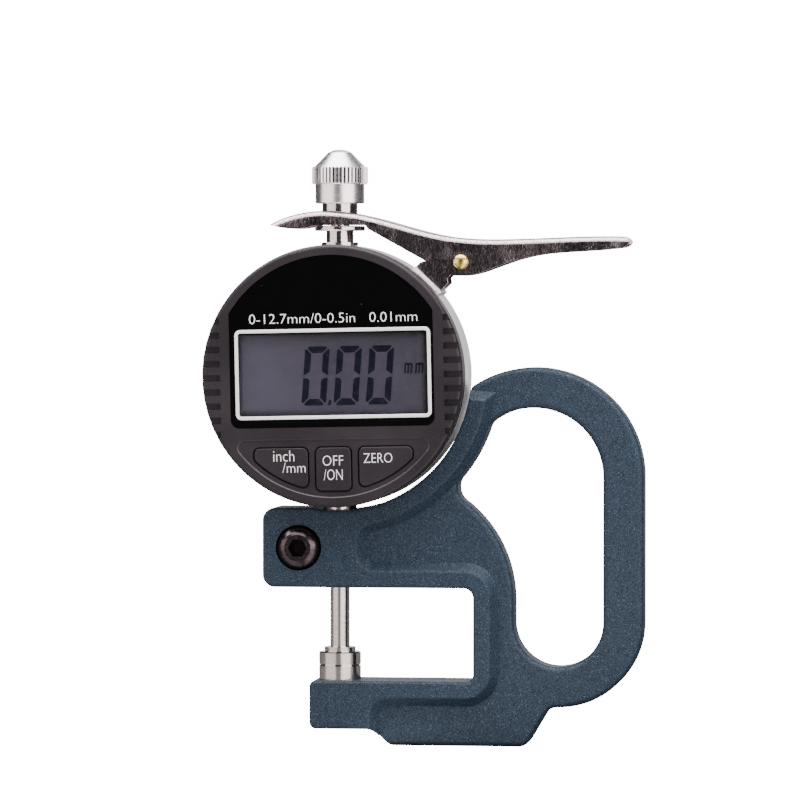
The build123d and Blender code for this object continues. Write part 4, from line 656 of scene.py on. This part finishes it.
def gloss_black():
    """Near-black gloss with specks of dust that are a little lighter and rougher."""
    made, tree, shader = start("gloss_black", Base_Color=(0.001, 0.0008, 0.001, 1.0), Roughness=0.06)
    touch = placed(tree, HANDLING, GLASS_PATCHES)
    dust = node(tree, "ShaderNodeTexVoronoi")
    dust.inputs["Scale"].default_value = 420.0
    tone = node(tree, "ShaderNodeSeparateColor")
    connect(tree, (object_place(tree), dust.inputs["Vector"]), (dust.outputs["Color"], tone.inputs[0]))
    speck = maths(tree, "MULTIPLY", remap(tree, tone.outputs[0], 0.93, 0.96),
                  remap(tree, dust.outputs["Distance"], 0.05, 0.03))
    rough = maths(tree, "ADD", remap(tree, touch["Rubbed"], 0.0, 1.0, 0.05, 0.12),
                  maths(tree, "MULTIPLY", speck, 0.4))
    colour = blend_colours(tree, speck, (0.0016, 0.0013, 0.0015), (0.10, 0.10, 0.10))
    connect(tree, (colour, shader.inputs["Base Color"]), (rough, shader.inputs["Roughness"]))
    return made


def clear_window():
    """Clear acrylic that lets shadow rays through."""
    made, tree, shader = start("clear_window", Base_Color=(1.0, 1.0, 1.0, 1.0), Roughness=0.02, IOR=1.1,
                               Transmission_Weight=1.0)
    touch = placed(tree, HANDLING, GLASS_PATCHES)
    choice = node(tree, "ShaderNodeMixShader")
    connect(tree, (remap(tree, touch["Rubbed"], 0.0, 1.0, 0.01, 0.04), shader.inputs["Roughness"]),
            (node(tree, "ShaderNodeLightPath").outputs["Is Shadow Ray"], choice.inputs[0]),
            (shader.outputs[0], choice.inputs[1]),
            (node(tree, "ShaderNodeBsdfTransparent").outputs[0], choice.inputs[2]),
            (choice.outputs[0], tree.nodes["Material Output"].inputs["Surface"]))
    return made


def display_glass(half_width=0.0232, half_height=0.0105, rise=0.0006):
    """Grey-violet reflector: darker towards the right, with a painted shadow near the border."""
    made, tree, shader = start("display_glass", Base_Color=(0.1, 0.097, 0.12, 1.0), Roughness=0.4,
                               Specular_IOR_Level=0.2)
    grain = placed(tree, GRAIN, 9000.0)
    x, _, z = object_axes(tree)
    aside = maths(tree, "SUBTRACT", half_width, maths(tree, "ABSOLUTE", x, 0.0))
    above = maths(tree, "ABSOLUTE", maths(tree, "SUBTRACT", z, float(HEAD[2]) + rise), 0.0)
    inset = maths(tree, "MINIMUM", aside, maths(tree, "SUBTRACT", half_height, above))
    # painted shadow: the colour falls to dark within two millimetres of the border
    inner = remap(tree, inset, 0.0002, 0.0022)
    left = remap(tree, x, -0.02, 0.0, 1.1, 0.62)
    shade = maths(tree, "MULTIPLY", left, remap(tree, grain["Drift"], 0.0, 1.0, 0.94, 1.06))
    colour = blend_colours(tree, maths(tree, "MULTIPLY", inner, shade), (0.0048, 0.0048, 0.0055),
                           (0.032, 0.0285, 0.042))
    connect(tree, (colour, shader.inputs["Base Color"]))
    engrave(tree, shader, grain["Height"], 3e-6)
    return made


FINISH["gloss_black"] = gloss_black()
FINISH["clear_window"] = clear_window()
FINISH["display_glass"] = display_glass()
print(len(FINISH), "finishes")

# %% [markdown]
# ## Dress the solid pieces
# Every solid piece takes the finish that its material slot names. The three sleeves round the spindle are an
# exception: the waves of the plated sheet would look wrong on turned pieces, so they get turned steel.

# %% Give each piece its finish
TURNED_PIECES = ("upper_bushing", "stop_collar", "cap_neck")
for name, piece in sorted(nodes.items()):
    old = [slot.material.name.split(".")[0] for slot in piece.material_slots if slot.material]
    chosen = next((label for label in old if label in FINISH), None)
    if name in TURNED_PIECES:
        chosen = "turned_steel"
    if chosen is None:
        raise ValueError(f"{name} has no known finish: {old}")
    piece.data.materials.clear()
    piece.data.materials.append(FINISH[chosen])
print("dressed", len(nodes), "pieces")

# %% [markdown]
# ## Print and ink
# The white line, the words on the keys and the measuring range are screen-printed: a film of ink a few
# hundredths of a millimetre thick, slightly uneven, with an edge that catches the light. The dark figures of
# the display are no print but thin cells inside the glass, so they are flatter and nearly black.

# %% Mix the inks
def ink(name, low, high, smooth, grains, depth):
    """Thin film of ink whose tone and gloss vary a little from grain to grain."""
    made, tree, shader = start(name, Base_Color=(*high, 1.0), Roughness=smooth)
    grain = placed(tree, GRAIN, grains)
    tone = remap(tree, grain["Height"], 0.35, 0.65)
    connect(tree, (blend_colours(tree, tone, low, high), shader.inputs["Base Color"]),
            (remap(tree, grain["Drift"], 0.0, 1.0, smooth, smooth + 0.12), shader.inputs["Roughness"]))
    engrave(tree, shader, grain["Height"], depth)
    return made


WHITE_INK = ink("white_ink", (0.82, 0.77, 0.77), (0.98, 0.95, 0.95), 0.4, 9000.0, 4e-6)
KEY_INK = ink("key_ink", (0.72, 0.7, 0.72), (0.92, 0.9, 0.92), 0.45, 9000.0, 4e-6)
SEGMENT_INK = ink("display_segment", (0.001, 0.001, 0.004), (0.003, 0.003, 0.009), 0.35, 4000.0, 1e-6)
SEGMENT_INK.node_tree.nodes["Principled BSDF"].inputs["Specular IOR Level"].default_value = 0.1
print("inks:", WHITE_INK.name, KEY_INK.name, SEGMENT_INK.name)

# %% [markdown]
# ## Where things lie on the face
# The face is turned by a little more than a degree, because its owner never clamps it quite level. Whatever
# is printed on it is drawn flat first, in millimetres from the middle of the head, and then turned with it.

# %% From the flat drawing to the turned face
FACE_ANGLE = math.radians(1.2)


def on_face(flat, front):
    """Points (x, z) in mm about the head, and y in mm, as metres: x cos a - z sin a, and x sin a + z cos a."""
    x, z = flat[..., 0], flat[..., 1]
    turned = np.stack([x * math.cos(FACE_ANGLE) - z * math.sin(FACE_ANGLE), np.broadcast_to(front, x.shape),
                       x * math.sin(FACE_ANGLE) + z * math.cos(FACE_ANGLE)], axis=-1)
    return turned * MM + HEAD


panel_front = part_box("face_panel")[0][1] / MM
glass_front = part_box("lcd")[0][1] / MM
key_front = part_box("power_button")[0][1] / MM
print("panel, display and keys at y =", round(panel_front, 2), round(glass_front, 2), round(key_front, 2))

# %% [markdown]
# ## The white line round the window
# A rounded rectangle is four quarter circles joined by straight runs. Taking a fixed number of angles for
# each corner and moving inwards by the width of the line gives every row of the grid at once. The profile is
# a low dome, as ink has when it has dried.

# %% Draw the line
def rounded_loop(half_size, radius, inset, steps=10):
    """Rounded rectangle moved inwards by each inset: corner centre + (radius - inset) (cos a, sin a)."""
    angle = np.concatenate([np.linspace(q, q + math.pi / 2, steps) for q in np.arange(4) * math.pi / 2])
    corner = np.repeat([[1, 1], [-1, 1], [-1, -1], [1, -1]], steps, axis=0) * (np.array(half_size) - radius)
    ray = np.stack([np.cos(angle), np.sin(angle)], axis=-1)
    return corner[:, None, :] + (radius - inset)[None, :, None] * ray[:, None, :]


WINDOW_HALF, WINDOW_CORNER, WINDOW_MIDDLE = (23.3, 10.65), 1.4, [0.3, 0.62]
film = np.array([0.0, 0.1, 0.42, 0.75, 0.85, 0.42])
height = np.array([0.0, 0.035, 0.05, 0.035, 0.0, -0.02])
loop = rounded_loop(WINDOW_HALF, WINDOW_CORNER, film) + WINDOW_MIDDLE
line = grid_piece("window_line", on_face(loop, panel_front - height[None, :]), close_rows=True, close_columns=True)
line.data.materials.append(WHITE_INK)
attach(line, "face_body")

# %% [markdown]
# ## The rounded edge of the key field
# The keys stand in a shallow field that is cut into the bezel. Its border is a circle cut off by a level line,
# with rounded corners. A corner circle of radius r touches the line z = t when its centre lies at z = t - r,
# and touches the large circle R when its centre is R - r from the middle, which gives its x. The border has a
# small rounding that thumbs have polished smooth, and its colour is lighter than the skin around it: a
# painted highlight of the light that the rounding catches.

# %% Round the edge
FIELD_RADIUS, FIELD_TOP, FIELD_CORNER, FIELD_DEPTH = 28.7, -14.6, 2.0, 0.3
ROUNDING, CLEAR_OUT, CLEAR_UP = 0.34, 0.02, 0.005
CORNER_STEPS, CIRCLE_STEPS = 10, 90
corner_z = FIELD_TOP - FIELD_CORNER
corner_x = math.sqrt((FIELD_RADIUS - FIELD_CORNER) ** 2 - corner_z ** 2)
tilt = math.atan2(corner_z, corner_x)
angles = np.concatenate([np.linspace(math.pi / 2, tilt, CORNER_STEPS),
                         np.linspace(tilt, -math.pi - tilt, CIRCLE_STEPS),
                         np.linspace(-math.pi - tilt, -1.5 * math.pi, CORNER_STEPS)])
stretches = [CORNER_STEPS, CIRCLE_STEPS, CORNER_STEPS]
centres = np.repeat([[corner_x, corner_z], [0.0, 0.0], [-corner_x, corner_z]], stretches, axis=0)
radii = np.repeat([FIELD_CORNER, FIELD_RADIUS, FIELD_CORNER], stretches)
turn = np.linspace(0, math.pi / 2, 6)
inset = np.append(ROUNDING * (1 - np.cos(turn)), 0.0)
sunk = np.append(FIELD_DEPTH * np.sin(turn), FIELD_DEPTH)
rays = np.stack([np.cos(angles), np.sin(angles)], axis=-1)
border = centres[:, None, :] + (radii[:, None] + CLEAR_OUT - inset[None, :])[..., None] * rays[:, None, :]
# painted highlight: the edge's plastic is mixed several times lighter than the bezel's
FINISH["edge_highlight_plastic"] = moulded("edge_highlight_plastic", (0.03, 0.024, 0.028), (0.055, 0.045, 0.052),
                                     0.3, 0.4, 5200.0, 1e-5)
bezel_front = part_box("bezel")[0][1] / MM
edge = grid_piece("key_field_edge", on_face(border, bezel_front + CLEAR_UP + sunk[None, :]), close_rows=True,
                  close_columns=True)
edge.data.materials.append(FINISH["edge_highlight_plastic"])
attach(edge, "face_body")

# %% [markdown]
# ## The figures of the display
# A figure is made of cells with mitred ends and a hair of space between them. Each cell is a plate with six
# corners. One corner list describes the upper left part of the figure and the top bar, and mirrored copies
# of it give the rest. Nought needs all cells but the middle one. The figures lean to the right.

# %% Cut plates out of corner lists
def plates(name, corners, front, thickness):
    """Prisms from corners[plate, corner, (x, z)] in mm on the face, wound so that their fronts face -Y."""
    following = np.roll(corners, -1, axis=1)
    area = (corners[..., 0] * following[..., 1] - following[..., 0] * corners[..., 1]).sum(axis=1)
    corners = np.where(area[:, None, None] > 0, corners, corners[:, ::-1])
    count, sides = corners.shape[:2]
    points = np.concatenate([on_face(corners, front), on_face(corners, front + thickness)], axis=1)
    first = (np.arange(count) * 2 * sides)[:, None]
    ring = np.arange(sides)
    onward = (ring + 1) % sides
    fronts = first + ring
    backs = first + sides + ring[::-1]
    walls = np.stack([first + ring + sides, first + onward + sides, first + onward, first + ring], axis=-1)
    faces = fronts.tolist() + backs.tolist() + walls.reshape(-1, 4).tolist()
    mesh = bpy.data.meshes.new(name)
    mesh.from_pydata(points.reshape(-1, 3).tolist(), [], faces)
    mesh.update()
    print(name, "has", count, "plates")
    return put_in_scene(name, mesh)


# %% Build the noughts
TALL, WIDE, STROKE, CHAMFER, HAIR = 13.9, 5.9, 1.55, 0.9, 0.26
cut = (CHAMFER + HAIR) / 2
rest = (CHAMFER - HAIR) / 2
bar = np.array([(CHAMFER, TALL), (cut, TALL - rest), (STROKE + HAIR, TALL - STROKE),
                (WIDE - STROKE - HAIR, TALL - STROKE), (WIDE - cut, TALL - rest), (WIDE - CHAMFER, TALL)])
upper = np.array([(0, TALL - CHAMFER), (rest, TALL - cut), (STROKE, TALL - STROKE - HAIR),
                  (STROKE, 8.05), (0.6, 7.42), (0.05, 7.1)])
lower = np.array([(0, CHAMFER), (rest, cut), (STROKE, STROKE + HAIR), (STROKE, 5.9), (1.1, 6.35), (0.05, 6.5)])


def mirrored(shape, across=False, over=False):
    """The shape mirrored left to right, top to bottom, or both."""
    return shape * [-1 if across else 1, -1 if over else 1] + [WIDE if across else 0, TALL if over else 0]


nought = np.stack([bar, mirrored(bar, over=True), upper, mirrored(upper, across=True), lower,
                   mirrored(lower, across=True)])
LEAN = math.tan(math.radians(5.1))
DIGIT_LEFT, DIGIT_FOOT, PITCH = -7.55, -6.85, 7.66
SEGMENT_PROUD, SEGMENT_THICK = 0.03, 0.035
shifts = np.array([[0.0, 0.0], [PITCH, 0.0], [2 * PITCH, 0.0]])
digits = (nought[None] + shifts[:, None, None, :]).reshape(-1, 6, 2)
point = np.array([[(6.55, 1.15), (6.75, 1.2), (7.15, 1.2), (7.1, 0.5), (6.95, 0.0), (6.35, 0.0)]])
legs = np.array([0.0, 0.75, 1.5, 2.6, 3.35, 4.1])
leg = np.array([(0.03, 0.0), (0.45, 0.0), (0.45, 1.3), (0.45, 2.3), (0.24, 2.42), (0.03, 2.3)])
caps = np.array([(0.2, 2.0), (1.75, 2.0), (1.75, 2.3), (1.55, 2.5), (0.4, 2.5), (0.2, 2.3)])
unit = np.concatenate([leg[None] + np.stack([legs, 0 * legs], axis=-1)[:, None, :],
                       caps[None] + np.array([[[0.0, 0.0]], [[2.6, 0.0]]])]) + [23.9, 7.15]
flat = np.concatenate([digits, point, unit])
flat[..., 0] += LEAN * flat[..., 1]
flat += [DIGIT_LEFT, DIGIT_FOOT]
figures = plates("display_figures", flat, glass_front - SEGMENT_PROUD, SEGMENT_THICK)
figures.data.materials.append(SEGMENT_INK)
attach(figures, "face_body")

# %% [markdown]
# ## Words on the panel and the keys
# Words start as a text curve, become a mesh, and only then are laid on the face: each letter is a thin slab
# whose edges are welded shut. The words are plain functions and the measuring range. They move with the
# piece that they are printed on, so a key takes its own words along when it is pressed.

# %% Set words on the face
import bmesh
INK_FILM, INK_SUNK = 0.03, 0.005


def outward_faces(mesh, weld=0.0):
    """Weld corners that lie closer than a distance, then turn every face outwards."""
    work = bmesh.new()
    work.from_mesh(mesh)
    if weld:
        bmesh.ops.remove_doubles(work, verts=work.verts, dist=weld)
    bmesh.ops.recalc_face_normals(work, faces=work.faces)
    work.to_mesh(mesh)
    work.free()


def words(name, text, middle, size, front, body, finish):
    """Text as a welded slab of ink, stretched to a width and a height in mm about a middle on the face."""
    curve = bpy.data.curves.new(name, "FONT")
    curve.body = text
    curve.extrude = 0.5
    curve.offset = -0.012
    curve.resolution_u = 3
    drawn = put_in_scene(name + "_curve", curve)
    bpy.context.view_layer.update()
    mesh = bpy.data.meshes.new_from_object(drawn.evaluated_get(bpy.context.evaluated_depsgraph_get()))
    bpy.data.objects.remove(drawn)
    points = np.empty(len(mesh.vertices) * 3)
    mesh.vertices.foreach_get("co", points)
    points = points.reshape(-1, 3)
    low, high = points.min(axis=0), points.max(axis=0)
    spread = (points - (low + high) / 2) / (high - low)
    laid = on_face(spread[:, :2] * size + middle, front - INK_FILM * (spread[:, 2] + 0.5) + INK_SUNK)
    mesh.vertices.foreach_set("co", laid.ravel())
    outward_faces(mesh, weld=1e-6)
    mesh.materials.clear()
    mesh.materials.append(finish)
    mesh.name = name
    piece = put_in_scene(name, mesh)
    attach(piece, body)
    print(name, "has", len(mesh.polygons), "faces")


words("range_words", "0-12.7mm/0-0.5in   0.01mm", (0.6, 13.75), (40.0, 2.3), panel_front, "face_body", WHITE_INK)
for name, text, middle, size, body in (
        ("unit_words_top", "inch", (-11.8, -18.6), (5.0, 2.6), "unit_button_body"),
        ("unit_words_low", "/mm", (-9.4, -21.4), (5.5, 2.4), "unit_button_body"),
        ("power_words_top", "OFF", (-0.1, -19.85), (4.9, 2.4), "power_button_body"),
        ("power_words_low", "/ON", (-0.1, -23.2), (4.5, 2.5), "power_button_body"),
        ("zero_words", "ZERO", (10.6, -19.4), (6.8, 2.3), "zero_button_body")):
    words(name, text, middle, size, key_front, body, KEY_INK)

# %% [markdown]
# ## The bracket under the lever
# A sheet bracket carries the lever's pin. Its base is a flat strip that lies across the rim of the case, and
# two ears stand up from it inside the lever's channel. The strip is a rounded profile in the plane of Y and
# the outward direction, carried along the rim. Its round front edge catches the light, which is why it shows
# as a bright line. The ears are flat plates, drawn as a corner list with an arc round the pin.

# %% Bend the bracket
PIN = np.array(joints["lever_lift"]["pos_m"]) / MM
REST_ANGLE = math.radians(46.2)
SEAT = 30.7
outward = np.array([math.cos(REST_ANGLE), 0.0, math.sin(REST_ANGLE)])
along_rim = np.array([math.sin(REST_ANGLE), 0.0, -math.cos(REST_ANGLE)])


def rim_point(along, up, depth):
    """Point in metres: head centre + (seat + up) outward + along the rim + depth in Y, all in mm."""
    along, up, depth = np.broadcast_arrays(along, up, depth)
    flat_place = (SEAT + up)[..., None] * outward + along[..., None] * along_rim
    flat_place[..., 1] += depth
    return flat_place * MM + HEAD


ROUND, HALF_DEPTH, HALF_LENGTH = 0.5, 5.3, 4.4
turn = np.linspace(-math.pi / 2, math.pi / 2, 9)
edge_depth = np.concatenate([HALF_DEPTH + ROUND * np.cos(turn), -HALF_DEPTH - ROUND * np.cos(turn)])
edge_up = np.concatenate([ROUND * np.sin(turn), -ROUND * np.sin(turn)])
lengths = np.array([-HALF_LENGTH, -HALF_LENGTH, -4.25, 4.25, HALF_LENGTH, HALF_LENGTH])[:, None]
shrink = np.array([0.0, 0.85, 1.0, 1.0, 0.85, 0.0])[:, None]
narrowed = np.where(shrink > 0, 0.985 + 0.015 * shrink, 0.0)
bracket = grid_piece("bracket_base", rim_point(lengths, ROUND + edge_up * shrink, edge_depth * narrowed),
                     close_columns=True)

EYE_RADIUS, EAR_INNER, EAR_OUTER = 2.4, 3.7, 4.7
turn = np.radians(np.linspace(100, -125, 16))
crown = PIN[[0, 2]] + EYE_RADIUS * np.stack([np.cos(turn), np.sin(turn)], axis=-1)
foot = rim_point(np.array([-4.3, 3.8]), 0.4, 0.0)[:, [0, 2]] / MM
shoulder = rim_point(np.array([-4.3]), 2.4, 0.0)[:, [0, 2]] / MM
waist = PIN[[0, 2]] + [[-3.5, -3.8], [-3.3, -5.0]]
ear = np.concatenate([shoulder, crown, waist, foot[::-1]])
print("ear outline of", len(ear), "corners")


def slab(name, outline, front, back):
    """Plate from an outline of (x, z) corners in mm, from y = front to y = back."""
    count = len(outline)
    corners = np.concatenate([np.insert(outline, 1, depth, axis=1) for depth in (front, back)]) * MM
    ring = np.arange(count)
    onward = (ring + 1) % count
    walls = np.stack([ring, onward, onward + count, ring + count], axis=-1).tolist()
    mesh = bpy.data.meshes.new(name)
    mesh.from_pydata(corners.tolist(), [], [ring[::-1].tolist(), (ring + count).tolist()] + walls)
    outward_faces(mesh)
    return put_in_scene(name, mesh)


bracket.data.materials.append(FINISH["satin_steel"])
ears = [slab("bracket_ear_front", ear, -EAR_OUTER, -EAR_INNER),
        slab("bracket_ear_back", ear, EAR_INNER, EAR_OUTER)]
for piece in ears:
    piece.data.materials.append(FINISH["bright_steel"])
for piece in [bracket] + ears:
    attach(piece, "frame_body")
    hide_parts("lever_bracket")

# %% [markdown]
# ## The return spring
# Inside the case a coil spring pushes the slider down. Its wire is a tube round a helix: the helix climbs
# evenly with the angle, and at both ends the climb stops for the last half turn, so that the coil stands
# flat.

# %% Wind the spring
low, high = (np.array(corner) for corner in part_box("return_spring"))
WIRE, TURNS, TURN_STEPS, WIRE_SIDES, CUT_END = 0.0005, 9, 36, 10, 0.02
axis_place = (low + high) / 2
reach = (high[0] - low[0] - WIRE) / 2
steps = np.linspace(0, 1, TURNS * TURN_STEPS)
climb = np.clip((steps * TURNS - 0.5) / (TURNS - 1.0), 0, 1)
round_axis = 2 * math.pi * TURNS * steps
spine = np.stack([reach * np.cos(round_axis), reach * np.sin(round_axis),
                  low[2] - axis_place[2] + WIRE / 2 + climb * (high[2] - low[2] - WIRE)], axis=-1)
ahead = np.gradient(spine, axis=0)
ahead /= np.linalg.norm(ahead, axis=1, keepdims=True)
inward = np.stack([-np.cos(round_axis), -np.sin(round_axis), 0 * round_axis], axis=-1)
upward = np.cross(ahead, inward)
spin = np.linspace(0, 2 * math.pi, WIRE_SIDES, endpoint=False)
thick = np.where((steps == 0) | (steps == 1), CUT_END, 1.0)[:, None, None] * WIRE / 2
coil = spine[:, None, :] + thick * (np.cos(spin)[None, :, None] * inward[:, None, :]
                                    + np.sin(spin)[None, :, None] * upward[:, None, :]) + axis_place
spring = grid_piece("return_coil", coil[:, ::-1], close_columns=True)
spring.data.materials.append(FINISH["spring_steel"])
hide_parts("return_spring")
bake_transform(spring)
print("spring from z =", np.round(low[2] / MM, 2), "to", np.round(high[2] / MM, 2), "mm")

# %% [markdown]
# ## The rivet's domed head
# The rivet is set with a punch that leaves a low dome on its head. Its height falls off from the middle as
# the square root of one less the squared radius, which is the outline of a flattened ball.

# %% Raise the dome
low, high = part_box("pivot_pin")
rivet = np.array([(low[0] + high[0]) / 2, low[1], (low[2] + high[2]) / 2])
DOME_RADIUS, DOME_RISE = 1.72, 0.7
share = np.sin(np.linspace(0.02, math.pi / 2, 10))[:, None]
spin = np.linspace(0, 2 * math.pi, 40, endpoint=False)[None, :]
dome = np.stack([DOME_RADIUS * share * np.cos(spin), -DOME_RISE * np.sqrt(1 - share ** 2) + 0.0 * spin,
                 DOME_RADIUS * share * np.sin(spin)], axis=-1) * MM + rivet
cap = grid_piece("rivet_dome", dome, close_columns=True)
cap.data.materials.append(FINISH["brass"])
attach(cap, "frame_body")
print("rivet head at", np.round(rivet / MM, 2), "mm")
